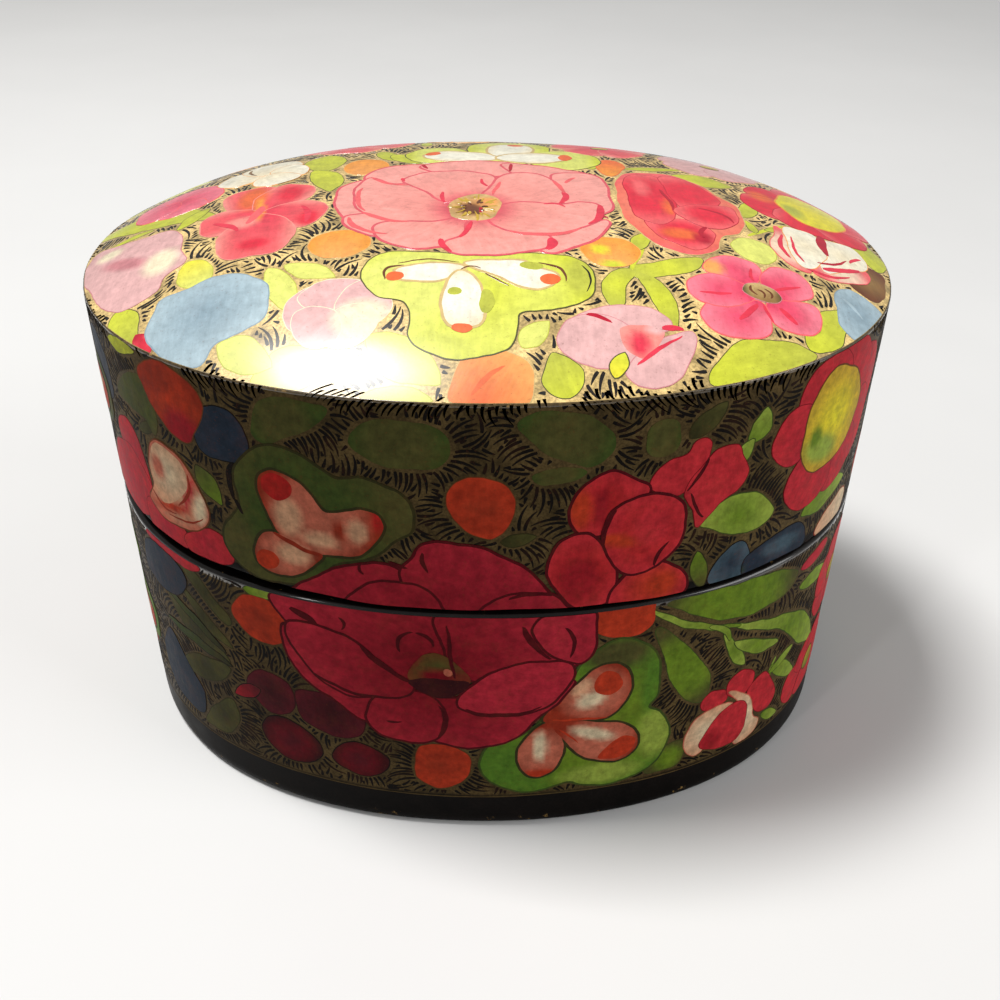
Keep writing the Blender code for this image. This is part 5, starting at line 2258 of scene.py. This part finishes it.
def body_wall_motifs() -> list[Motif]:
    """Return the flowers of the body's wall, on its plan, leaves first.

    Returns:
        The motifs, in painter's order.
    """
    burgundy = (
        blots(BURGUNDY_WASH,
            (-31.4, 19.6, -29.6, 21.8, -26.8, 22, -25, 20.4, -25.2, 16.6, -28, 15.2, -30.6, 17),
            (-24.4, 20, -21.6, 21, -18, 20.2, -15.5, 17.4, -16.8, 14.6, -20.4, 14.2, -23.8, 16))
        + blots(Wash(Paint.BURGUNDY, Paint.MADDER_DEEP, Paint.INK, Paint.BURGUNDY_DEEP), (-30, 12.2,
            -28.6, 14.5, -25, 14.6, -22.3, 12.4, -21.8, 9.8, -23.8, 7.9, -27.2, 7.9, -29.4, 9.6),
            (-20, 11.4, -17.6, 13.4, -14.6, 12.9, -12.7, 11, -13.5, 9, -16, 7.8, -18.6, 8.4, -20.2, 9.8))
        + leaves(Wash(Paint.BURGUNDY, Paint.MADDER, Paint.INK), (-29.6, 18.6, -34, 16.2, 2.2))
    )
    tulip = (
        blots(TULIP_WASH, (28, 15.2, 27.2, 16.8, 28.6, 18.2, 30.8, 17.4, 31, 15.4),
            (31.2, 16.4, 31.4, 18.8, 33.2, 19.8, 35.2, 18.8, 35.6, 16.6, 33.6, 15.2),
            (34.8, 15, 36.2, 16.8, 38, 17.1, 39.8, 14.6, 41, 11.6, 40.3, 9.7, 38.4, 9.8, 36.6, 11.6))
        + blots(Wash(Paint.IVORY, Paint.FLESH_PALE, Paint.FLESH), (27.2, 7.3, 25.9, 8.8, 25.5, 11.2,
            26.2, 13.4, 28, 14.8, 30.6, 15, 32.6, 14.2, 31.4, 12, 29.4, 9.4, 28.4, 7.6), (31.4, 16.8,
            33.4, 16, 35.2, 14.2, 36.4, 11.8, 37, 9.8, 38.2, 8.4, 37.6, 6.7, 35.6, 6.1, 34, 6.5, 34.4, 10,
            33.6, 14))
        + blots(lit(TULIP_WASH, (Paint.MADDER, 29.6, 9, 1.6, 1.8)), (28.1, 8.4, 28.6, 11, 30.8, 13.6,
            33.2, 14.5, 34.9, 13.2, 35.5, 11, 35.1, 8.4, 33.9, 6.8, 31, 7.1))
    )
    dull = (
        blots(OLIVE_WASH,
            (-33.4, 27.6, -36.2, 29.6, -39, 32.4, -40.8, 34.6, -38, 34.2, -35, 31.2, -32.8, 29),
            (-33, 24, -35.4, 26.6, -38.2, 28.6, -41, 30.4, -39.4, 27.8, -36.8, 25.2),
            (-34, 20.8, -35.2, 23, -37.2, 25, -40.6, 25.6, -44.8, 27.4, -42.4, 24, -39, 21.8),
            (-34, 20.2, -36.6, 16.8, -40, 15.6, -45, 15.2, -41.2, 18.8, -38, 20),
            (-34.6, 14.6, -37.4, 12.4, -41, 7.2, -36.2, 7.8, -34, 11.4))
        + leaves(SHADE_LEAF, (-33.6, 20.8, -46.6, 22.2, 1.6, -0.04), (-34.4, 22.6, -45.6, 27.8, 1.4, -0.06))
    )
    fresh = (
        blots(Wash(Paint.GRASS, Paint.GRASS, Paint.MOSS, Paint.OLIVE, 0.1), (19.4, 31.4, 21.4, 30.2,
            24, 27.4, 26.6, 23.6, 28.1, 20.6, 27.6, 17.5, 26.2, 17.2, 24.2, 19, 22.4, 22, 21.2, 25.6,
            20.2, 28.6), (20.6, 34.8, 24, 35.2, 30, 35, 36, 34.4, 40.8, 32.2, 39.2, 30, 34, 29.2,
            29.6, 29.8, 26, 31.2, 23, 33.2), (20.2, 7.2, 22.2, 10.4, 24.8, 11, 25.6, 9, 24.6, 6.7, 22, 6.4))
        + blots(FRESH_LEAF, (30, 28.6, 36, 26.9, 40, 25.8, 43, 24.6, 46, 22.4, 49, 18, 50.4, 15.4, 46.4, 17,
            43.6, 19.4, 41, 22.2, 38, 24.4, 34, 26.2),
            (29, 27.6, 31, 25.6, 32.6, 23.4, 33.2, 20.8, 31.4, 22, 30.2, 24.6),
            (31, 25.6, 34, 24.6, 37, 23.2, 39.4, 21.6, 36.2, 21.6, 33.2, 23))
        + touches(GREEN_SPRIG, (0.9, 18.6, 34.4, 23, 31.2, 27, 29.4, 31.6, 28),
            (0.8, 26.6, 29.6, 28.8, 28.4, 30.2, 26), (0.5, 39.6, 19, 38.8, 17, 40, 14))
        + leaves(FRESH_LEAF, (38.8, 17.8, 45.6, 12.4, 2.2), (38.6, 16.6, 43.6, 18.6, 1.6),
            (38.8, 8.8, 42.8, 6.8, 1.8), (42, 29, 50.4, 28.2, 2.4), (-29.8, 34.7, -25.2, 34.7, 1.6))
    )
    red_far = replace(RED_WASH, root=Paint.RED)
    return [
        Motif("dull_leaves", dull), Motif("fresh_leaves", fresh),
        Motif("rim_touches", petals(RED_WASH, (41.6, 32, 48, 33.2, 2.2), (-48.4, 34.8, -36.6, 34.8, 2.2))),
        Motif("berries", blots(RUST_WASH,
            (-32.1, 30, -31, 32.8, -29, 34, -26.4, 33.8, -24.8, 32, -24.9, 28.6, -27, 27, -29.8, 27.4),
            (-9.5, 10, -9.4, 12.4, -8.6, 14.3, -6.8, 14.7, -4.2, 14.2, -2.6, 12.6, -2.6, 10.2, -4, 8,
            -6.6, 7, -8.8, 8.2)) + blots(Wash(Paint.FLAME, Paint.FLAME, Paint.UMBER, line_width=0),
            (11.2, 34.4, 12.2, 32.3, 14.4, 31.1, 17, 31, 18.7, 32.2, 19, 34.4, 18.4, 36, 12, 36))
            + rounds(RUST_WASH, (-57.6, 13.6, 6.4), (63.4, 30.4, 6.2))),
        # this blue's darkest slate is partly a painted shade of the box's dimmer left side
        Motif("blue_left", blots(DUSK_WASH,
            (-50.4, 28, -49, 33, -44, 34.2, -40, 32.6, -40.8, 29.4, -44, 27.4),
            (-48.6, 8.6, -42, 8, -40.2, 12.4, -42.4, 15.4, -46.4, 19.8, -50.4, 14))),
        Motif("burgundy", burgundy), Motif("green_cloud", body_cloud()), Motif("tulip", tulip),
        Motif("great_rose", body_rose()),
        Motif("crimson_right", flower(red_far, (51, 11), (43.4, 9, 6.6), (47.6, 15.2, 6.4),
            (54.6, 16.4, 6.6), (57.4, 9.4, 7), (51, 5.4, 7.4), belly=0.62)
            + rounds(MUSTARD_WASH, (51, 11, 3.4))),
        Motif("crimson_high", flower(red_far, (54, 25), (49.4, 19.6, 7), (47.8, 27.4, 7), (54, 32.6, 7.6),
            (60.4, 27.4, 7.4), (58.6, 19.2, 7.2), belly=0.62) + rounds(MUSTARD_WASH, (54, 25, 3.6))),
    ] + far_motifs(Body.BODY)


def trefoil(name: str, spot: Plan, scale: float, turn: float, cloud: Wash) -> Motif:
    """Return three pale petals with dipped tips, laid on a green cloud of three lobes.

    Args:
        name: name of the motif.
        spot: its middle on the plan.
        scale: its size, 1 for a reach of about 11 mm.
        turn: its turn, in degrees.
        cloud: wash of the cloud.

    Returns:
        The trefoil.
    """
    headings = [math.radians(90.0 + turn), math.radians(208.0 + turn), math.radians(332.0 + turn)]

    def reach(angle: float, distance: float) -> Plan:
        """Return a point at a distance from the middle along a heading."""
        return (spot[0] + scale * distance * math.cos(angle), spot[1] + scale * distance * math.sin(angle))

    shapes: list[Shape] = [disc(reach(angle, 5.6), scale * 10.5, cloud) for angle in headings]
    shapes.append(disc(spot, scale * 9.0, replace(cloud, line_width=0.0)))
    parts = ((0.4, 9.2, 6.4, FLESH_WASH, 0.62), (2.6, 6.6, 3.0, IVORY_TOUCH, 0.5),
             (6.2, 9.1, 4.4, FLAME_CAP, 0.5))
    for angle in headings:
        for near, far, breadth, wash, belly in parts:
            shapes.append(Petal(reach(angle, near), reach(angle, far), scale * breadth, wash, belly=belly))
    return Motif(name, tuple(shapes))


def far_motifs(body: Body) -> list[Motif]:
    """Return the flowers on the sides and back, which the photograph doesn't show.

    Args:
        body: the half of the box that carries them.

    Returns:
        The motifs, in painter's order.
    """
    eye = Wash(Paint.MOSS, Paint.MUSTARD, Paint.UMBER)
    level, tall, sway, turn = (49.6, 1.0, 1.0, 0.0) if body is Body.LID else (20.4, 1.08, -0.6, 30.0)
    places = ((-74.0, 0.0), (-89.0, 3.2), (-101.0, -3.0), (-117.0, 1.2), (-130.0, -7.0), (127.2, -4.0),
              (94.6, -2.6), (69.4, 1.6))
    kinds = [("red_bloom", 9.6, RED_WASH), ("blue_bloom", 6.4, SLATE_WASH),
             ("flesh_bloom", 7.2, IVORY_WASH), ("madder_bloom", 9.8, MADDER_WASH),
             ("rust_bloom", 4.6, RUST_WASH), ("dusk_bloom", 6.0, SLATE_WASH),
             ("pale_bloom", 7.0, IVORY_WASH), ("ruby_bloom", 8.8, TULIP_WASH)]
    if body is Body.BODY:
        kinds = kinds[3:] + kinds[:3]
    plans = [(name, walk, rise, radius, wash) for (walk, rise), (name, radius, wash) in zip(places, kinds)]
    plans += [("back_bloom_left", -BACK_WALK, 2.0, 9.4, SCARLET_WASH),
              ("back_bloom_right", BACK_WALK, 2.0, 9.4, SCARLET_WASH)]
    motifs = [bloom(name, (walk, level + rise * sway), radius * tall, 6 if radius > 9.7 else 5, wash, eye,
                    0.9 * abs(walk) + turn) for name, walk, rise, radius, wash in plans]
    cloud = GRASS_WASH if body is Body.BODY else MOSS_WASH
    clouds = (("far_cloud_left", -60.4, 3.4, 0.82, 12.0), ("far_cloud_right", 81.6, -1.2, 0.95, -20.0),
              ("far_cloud_back", 111.4, 3.0, 0.8, 160.0))
    return motifs + [trefoil(name, (walk, level + rise * sway), scale, lean, cloud)
                     for name, walk, rise, scale, lean in clouds]


@dataclass
class BoxSizes:
    """Sizes of the box in millimetres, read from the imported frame."""

    half_long: float
    half_short: float
    seam: float
    lid_foot: float
    arris: float
    top: float
    wall: float = 2.6
    foot_round: float = 1.6
    rim_round: float = 0.6
    crown_thickness: float = 2.5
    crown_landing: float = 1.2
    arris_round: float = 0.45

    @classmethod
    def from_frame(cls) -> "BoxSizes":
        """Return the sizes of the nodes in the frame.

        Returns:
            The sizes, in millimetres.
        """
        low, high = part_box("body_band")
        lid_low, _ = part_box("lid_band")
        crown_low, crown_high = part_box("lid_crown")
        return cls(half_long=(high[0] - low[0]) / 2 / MM, half_short=(high[1] - low[1]) / 2 / MM,
                   seam=high[2] / MM, lid_foot=lid_low[2] / MM,
                   arris=crown_low[2] / MM + cls.crown_landing, top=crown_high[2] / MM)


@dataclass
class Half:
    """What both halves of the box are made from."""

    sizes: BoxSizes
    oval: Oval
    finishes: dict[Look, bpy.types.Material]


@dataclass
class LowerHalf(Half):
    """Body of the box: its lacquered wall, its black foot and its painted flowers."""

    rubbed: float = 0.2
    foot_wear: float = 0.3
    bead: float = 0.05
    wall_rings: int = 60
    inner_rings: int = 8
    no_leaves: Plan = (-56.0, 62.0)
    leaf_seed: int = 21
    pen_seed: int = 31

    def shell(self) -> None:
        """Build the wall with its rounded foot and rim, and the lacquer on its rim."""
        sizes, bead = self.sizes, self.bead
        chart = WallChart(self.oval, 0.0, sizes.seam)
        loft = ShellLoft(self.oval)
        top, foot, inner = sizes.seam - sizes.rim_round, sizes.foot_round, sizes.wall
        for level in np.linspace(top, foot, self.wall_rings):
            # between the gold line and the rim the gilt ground is darkened as painted shade
            loft.ground = Paint.SHADED_GILT if GOLD_LINE_LEVEL < level < top - 0.3 else Paint.INK
            loft.ring(loft.painted(chart, level), self.rubbed * math.exp(-((level - top) / 0.3) ** 2)
                      + self.foot_wear * math.exp(-((level - foot) / 0.7) ** 2))
        loft.turn(loft.upright(SKIN_INSET, bead), loft.upright(foot, bead), 0.25, 4)
        loft.turn(loft.upright(inner, bead), loft.upright(inner, 0.5), 0.0, 2)
        for level in np.linspace(4.0, top, self.inner_rings):
            loft.ring(loft.upright(inner, level))
        rim = sizes.seam - bead
        loft.turn(loft.upright(inner, rim), loft.upright(inner - 0.7, rim), 0.5, 3)
        loft.turn(loft.upright(SKIN_INSET, rim), loft.painted(chart, top + 0.02), self.rubbed, 3)
        piece = loft.build("body_shell", self.finishes[Look.GROUND], crowned=False)
        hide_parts("body_band")
        settle(piece, Body.BODY, f"{len(loft.rings)} rings")
        order = [row % len(loft.rings) for row in range(-5, 2)]
        settle(loft.overlay("body_rim_lacquer", order, self.finishes[Look.LACQUER], crowned=False),
               Body.BODY, f"{len(order)} rings")

    def gold_line(self, canvas: Canvas) -> None:
        """Rule the gold line round the foot of the decoration.

        Args:
            canvas: canvas of the body's wall.
        """
        half = self.oval.length / 2
        walk = np.arange(-half, half, 0.8)
        middle = GOLD_LINE_LEVEL - 0.35 + 0.1 * np.sin(walk * 0.17)
        thick = 0.09 + 0.03 * np.sin(walk * 0.9) * np.cos(walk * 0.23)
        plan = np.vstack([np.column_stack([walk, middle - thick]), np.column_stack([walk, middle + thick])])
        count = len(walk)
        around = [(step, (step + 1) % count) for step in range(count)]
        faces = [(step, after, after + count, step + count) for step, after in around]
        # the foot's gold line is ruled in gilt darkened as painted shade
        looks = [canvas.chart.normals(plan), np.tile(Paint.SHADED_GILT.value.linear(), (2 * count, 2)), plan,
                 np.zeros((2 * count, 1))]
        canvas.pen.add(canvas.chart.place(plan, FIRST_COAT + COAT_STEP),
                       canvas.chart.place(plan, -SKIRT_DEPTH), looks, faces)

    def build(self) -> None:
        """Build and dress the lower half."""
        self.shell()
        chart = WallChart(self.oval, GOLD_LINE_LEVEL, self.sizes.seam - RIM_MARGIN - 0.2)
        canvas = Canvas("body", chart, Body.BODY, Slot.BODY, self.finishes[Look.WALL_PAINT])
        canvas.dress(body_wall_motifs(), (GRASS_LEAF, OLIVE_WASH, FRESH_LEAF), self.leaf_seed, self.no_leaves)
        self.gold_line(canvas)
        PenWork(canvas, pitch=0.58, width=0.42, longest=4.0).build(self.pen_seed)


@dataclass
class UpperHalf(Half):
    """Lid of the box: its crown, its wall and the flowers on both."""

    wall_rings: int = 36
    vault_wall_rings: int = 6
    vault_rings: int = 20
    no_leaves: Plan = (-58.0, 62.0)
    crown_leaf_seed: int = 11
    crown_pen_seed: int = 12
    wall_leaf_seed: int = 22
    wall_pen_seed: int = 32
    edge_seed: int = 33
    edge: np.ndarray = field(default_factory=lambda: np.zeros((0, 0, 3)))

    def shell(self, crown: CrownChart) -> None:
        """Build the lid as one hollow shell, and the varnish on its crown.

        Args:
            crown: chart of the crown.
        """
        sizes, oval = self.sizes, self.oval
        loft = ShellLoft(oval)
        walks = loft.walks()
        wall = WallChart(oval, 0.0, sizes.arris)
        loft.ground = Paint.GILT
        for share in np.sin(np.linspace(0.02, 1.0, CROWN_RINGS) * math.pi / 2) * CROWN_REACH:
            worn = 0.2 * math.exp(-((share - CROWN_REACH) / 0.008) ** 2)
            loft.ring(crown.place(oval.at(walks) * share), worn)
        drop = sizes.arris - sizes.arris_round
        # over the arris and down the wall the gilt ground is darkened as painted shade
        loft.ground = Paint.SHADED_GILT
        loft.turn(loft.upright(SKIN_INSET, sizes.arris - 0.12), loft.painted(wall, drop), 0.3, 4)
        foot = sizes.lid_foot + sizes.rim_round + lid_warp(walks)
        for share in np.linspace(0.0, 1.0, self.wall_rings)[1:]:
            loft.ground = Paint.SHADED_GILT if share < 0.97 else Paint.INK
            worn = 0.2 * math.exp(-(share / 0.03) ** 2) + 0.26 * math.exp(-((1 - share) / 0.035) ** 2)
            loft.ring(loft.painted(wall, drop * (1 - share) + foot * share), worn)
        under = foot - sizes.rim_round + 0.06
        loft.turn(loft.upright(SKIN_INSET, under), loft.upright(1.3, under), 0.26, 3)
        loft.turn(loft.upright(sizes.wall, under), loft.upright(sizes.wall, foot), 0.3, 3)
        vault_foot = sizes.arris - sizes.crown_landing
        for level in np.linspace(45.0, vault_foot, self.vault_wall_rings):
            loft.ring(loft.upright(sizes.wall, level))
        rise = sizes.top - sizes.arris + sizes.crown_landing - sizes.crown_thickness
        base = oval.at(walks) - oval.outward(walks) * sizes.wall
        for share in np.sin(np.linspace(0.97, 0.03, self.vault_rings) * math.pi / 2):
            level = vault_foot + rise * (1 - share ** CrownChart.POWER)
            loft.ring(np.column_stack([base * share, np.full(len(walks), level)]))
        piece = loft.build("lid_shell", self.finishes[Look.GROUND], crowned=True)
        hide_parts("lid_band", "lid_crown")
        settle(piece, Body.LID, f"{len(loft.rings)} rings")
        self.edge = np.array(loft.rings[ARRIS_RINGS])
        settle(loft.overlay("gilt_crown", GILT_RINGS, self.finishes[Look.GILDING], crowned=True),
               Body.LID, f"{len(GILT_RINGS)} rings")

    def edge_strokes(self, crown: Canvas, wall: Canvas, pitch: float, width: float) -> None:
        """Draw nested ink strokes from the crown over the arris onto the wall.

        Args:
            crown: canvas of the crown, whose flowers the strokes keep clear of.
            wall: canvas of the lid's wall, which takes the strokes.
            pitch: distance from stroke to stroke, in millimetres.
            width: width of a stroke, in millimetres.
        """
        half = self.oval.length / 2
        stretch = self.edge.shape[1] / self.oval.length
        paces = np.linalg.norm(np.diff(self.edge, axis=0), axis=2).mean(axis=1)
        profile = np.concatenate([[0.0], np.cumsum(paces)])
        dice = np.random.default_rng(self.edge_seed)
        count = EDGE_STATIONS
        run = np.linspace(0.0, 1.0, count)
        taper = (1.05 - run) ** 0.55 * width / 2
        colour = np.tile(Paint.INK.value.linear(), (2 * count, 2))
        faces = [(row, row + count, row + count + 1, row + 1) for row in range(count - 1)]
        for walk in np.arange(-half, half, pitch):
            first, last = dice.uniform(0.0, 1.2), profile[-1] - dice.uniform(0.1, 1.7)
            slant = 0.85 * math.sin(walk * 0.12) + dice.normal(0.0, 0.12)
            for _ in range(12):
                drawn = first + (last - first) * run
                across = np.interp(drawn, profile, np.arange(len(profile)))
                offset = drawn - profile[-1] / 2
                middle = walk + slant * offset + 0.26 * offset ** 2
                spots = self.on_edge(across, (middle + half) * stretch)
                top = spots[across < CROWN_SIDE][:, :2]
                side = np.column_stack([middle, spots[:, 2]])[across > WALL_SIDE]
                over, under = crown.filled.covered(top), wall.filled.covered(side)
                first, last = first + 0.2 * over, last - 0.2 * under
                if not (over or under) or last - first < 0.8:
                    break
            if over or under:
                continue
            crown.filled.cover(top)
            wall.filled.cover(side)
            pair = [self.on_edge(across, (middle + turn * taper + half) * stretch) for turn in (-1.0, 1.0)]
            outward = np.cross(pair[1] - pair[0], np.gradient(pair[0], axis=0))
            outward /= np.linalg.norm(outward, axis=1, keepdims=True)
            outward = np.tile(outward * np.sign(outward[:, 2].sum()), (2, 1))
            plan = np.vstack(pair)
            wall.pen.add(plan + outward * (FIRST_COAT + 2 * COAT_STEP), plan - outward * SKIRT_DEPTH,
                         [outward, colour, np.zeros((2 * count, 3))], faces)

    def on_edge(self, across: np.ndarray, along: np.ndarray) -> np.ndarray:
        """Return points of the rounded arris, between its rings and its steps.

        Args:
            across: places over the arris, counted in rings.
            along: places round the box, counted in steps.

        Returns:
            Points in space, one row a place.
        """
        rows, steps, _ = self.edge.shape
        row = np.clip(across.astype(int), 0, rows - 2)
        step = np.floor(along).astype(int)
        down, right = (across - row)[:, None], (along - step)[:, None]
        here, after = self.edge[:, step % steps], self.edge[:, (step + 1) % steps]
        spot = np.arange(len(row))
        above, below = (here[line, spot] * (1 - right) + after[line, spot] * right for line in (row, row + 1))
        return above * (1 - down) + below * down

    def build(self) -> None:
        """Build and dress the lid."""
        sizes, finishes = self.sizes, self.finishes
        crown_chart = CrownChart(self.oval, sizes.arris, sizes.top)
        self.shell(crown_chart)
        crown = Canvas("crown", crown_chart, Body.LID, Slot.CROWN, finishes[Look.CROWN_PAINT])
        crown.dress(crown_motifs(), (LIME_WASH, LEAF_WASH, LIME_PALE_WASH), self.crown_leaf_seed,
                    lengths=(6.5,))
        chart = WallChart(self.oval, sizes.lid_foot + RIM_MARGIN, sizes.arris - ARRIS_MARGIN, tilted=True)
        wall = Canvas("lid", chart, Body.LID, Slot.LID, finishes[Look.WALL_PAINT])
        wall.dress(lid_wall_motifs(), (GRASS_LEAF, OLIVE_WASH, FRESH_LEAF), self.wall_leaf_seed,
                   self.no_leaves)
        self.edge_strokes(crown, wall, pitch=0.72, width=0.4)
        crown_pen = PenWork(crown, pitch=0.62, width=0.44, longest=4.2, shortest=0.45, lean=0.6)
        crown_pen.build(self.crown_pen_seed)
        PenWork(wall, pitch=0.58, width=0.42, longest=4.0).build(self.wall_pen_seed)


def dress_carried_nodes(finishes: dict[Look, bpy.types.Material]) -> None:
    """Give the floor board and the collar, which keep their CAD meshes, their black finishes.

    Args:
        finishes: materials by finish.
    """
    for node, look in (("body_floor", Look.BOARD), ("inner_collar", Look.LINING)):
        item = bpy.data.objects[node]
        item.data.materials.clear()
        item.data.materials.append(finishes[look])
        LOG.info("%s: %s", node, look.value)


@dataclass
class Studio:
    """Floor, lamps and camera: sizes in metres, angles in degrees and the lens in millimetres."""

    floor_size: float = 3.0
    lens: float = 40.388
    sensor: float = 36.0
    pitch: float = 34.58
    roll: float = 0.797
    yaw: float = 1.618
    distance: float = 0.164051
    target: Colour = (0.001775, 0.0, 0.024281)
    room_light: float = 0.19
    backdrop: float = 0.80

    def camera(self) -> None:
        """Set up the camera at the photograph's angle."""
        pitch, roll = math.radians(self.pitch), math.radians(self.roll)
        ahead = Vector((0.0, math.cos(pitch), -math.sin(pitch)))
        level = Vector((1.0, 0.0, 0.0))
        upright = level.cross(ahead)
        right = level * math.cos(roll) + upright * math.sin(roll)
        up = upright * math.cos(roll) - level * math.sin(roll)
        axes = Matrix((right, up, -ahead)).transposed().to_4x4()
        axes.translation = Vector(self.target) - ahead * self.distance
        data = bpy.data.cameras.new("view")
        data.lens, data.sensor_width, data.clip_start = self.lens, self.sensor, 0.005
        item = add_object("view", data)
        item.matrix_world = Matrix.Rotation(-math.radians(self.yaw), 4, "Z") @ axes
        bpy.context.scene.camera = item

    def lamp(self, name: str, place: Colour, size: float, power: float,
             colour: Colour = (1.0, 1.0, 1.0)) -> None:
        """Hang a soft square lamp that faces the box.

        Args:
            name: name of the lamp.
            place: where it hangs, in metres.
            size: its side, in metres.
            power: its power, in watts.
            colour: its colour.
        """
        data = bpy.data.lights.new(name, "AREA")
        data.shape, data.size, data.energy, data.color = "SQUARE", size, power, colour
        item = add_object(name, data)
        item.location = place
        item.rotation_euler = (Vector((0.0, 0.0, 0.045)) - Vector(place)).to_track_quat("-Z", "Y").to_euler()

    def floor(self) -> None:
        """Lay a pale floor that throws less light back on the box than it shows to the camera."""
        graph = Graph("pale_floor", BARE)
        cloud = graph.noise(graph.place(), 9.0, 4.0)
        seen = graph.node("LightPath", "Is Camera Ray")
        for ray in ("Is Glossy Ray", "Is Transmission Ray"):
            seen = graph.sum("MAXIMUM", seen, graph.node("LightPath", ray))
        dark, low, high = ((level, level, level, 1.0) for level in (0.28, 0.77, 0.80))
        colour = graph.blend(seen, dark, graph.blend(graph.span(cloud, 0.3, 0.7), low, high))
        finish = graph.finish(colour, graph.span(cloud, 0.3, 0.7, 0.75, 0.85))
        half = self.floor_size / 2
        mesh = bpy.data.meshes.new("floor")
        corners = [(-half, -half, 0.0), (half, -half, 0.0), (half, half, 0.0), (-half, half, 0.0)]
        mesh.from_pydata(corners, [], [(0, 1, 2, 3)])
        mesh.materials.append(finish)
        add_object("floor", mesh)

    def world(self) -> None:
        """Fill the room with even light, under a backdrop that is brighter to the camera."""
        world = bpy.data.worlds.new("room")
        world.use_nodes = True
        tree = world.node_tree
        back = tree.nodes["Background"]
        path = tree.nodes.new("ShaderNodeLightPath")
        seen = tree.nodes.new("ShaderNodeMix")
        seen.data_type = "FLOAT"
        seen.inputs[2].default_value = self.room_light
        seen.inputs[3].default_value = self.backdrop
        tree.links.new(path.outputs["Is Camera Ray"], seen.inputs[0])
        tree.links.new(seen.outputs[0], back.inputs["Strength"])
        back.inputs["Color"].default_value = (1.0, 0.99, 0.97, 1.0)
        bpy.context.scene.world = world

    def build(self) -> None:
        """Set up the whole studio."""
        self.camera()
        self.floor()
        self.world()
        self.lamp("ceiling_softbox", (-0.26, 0.03, 0.80), size=0.2, power=6.4, colour=(1.0, 0.99, 0.965))
        self.lamp("right_fill", (1.05, -0.45, 0.5), size=0.7, power=6.6)
        self.lamp("rim_light", (-0.55, -0.6, 0.55), size=0.05, power=0.55)


def main() -> None:
    """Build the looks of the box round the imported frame."""
    logging.basicConfig(level=logging.INFO, format="%(message)s")
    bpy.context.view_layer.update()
    bpy.context.scene.view_settings.view_transform = "Standard"
    Studio().build()
    sizes = BoxSizes.from_frame()
    oval = Oval(sizes.half_long, sizes.half_short)
    finishes = make_finishes()
    dress_carried_nodes(finishes)
    LowerHalf(sizes, oval, finishes).build()
    UpperHalf(sizes, oval, finishes).build()


if __name__ == "__main__":
    main()
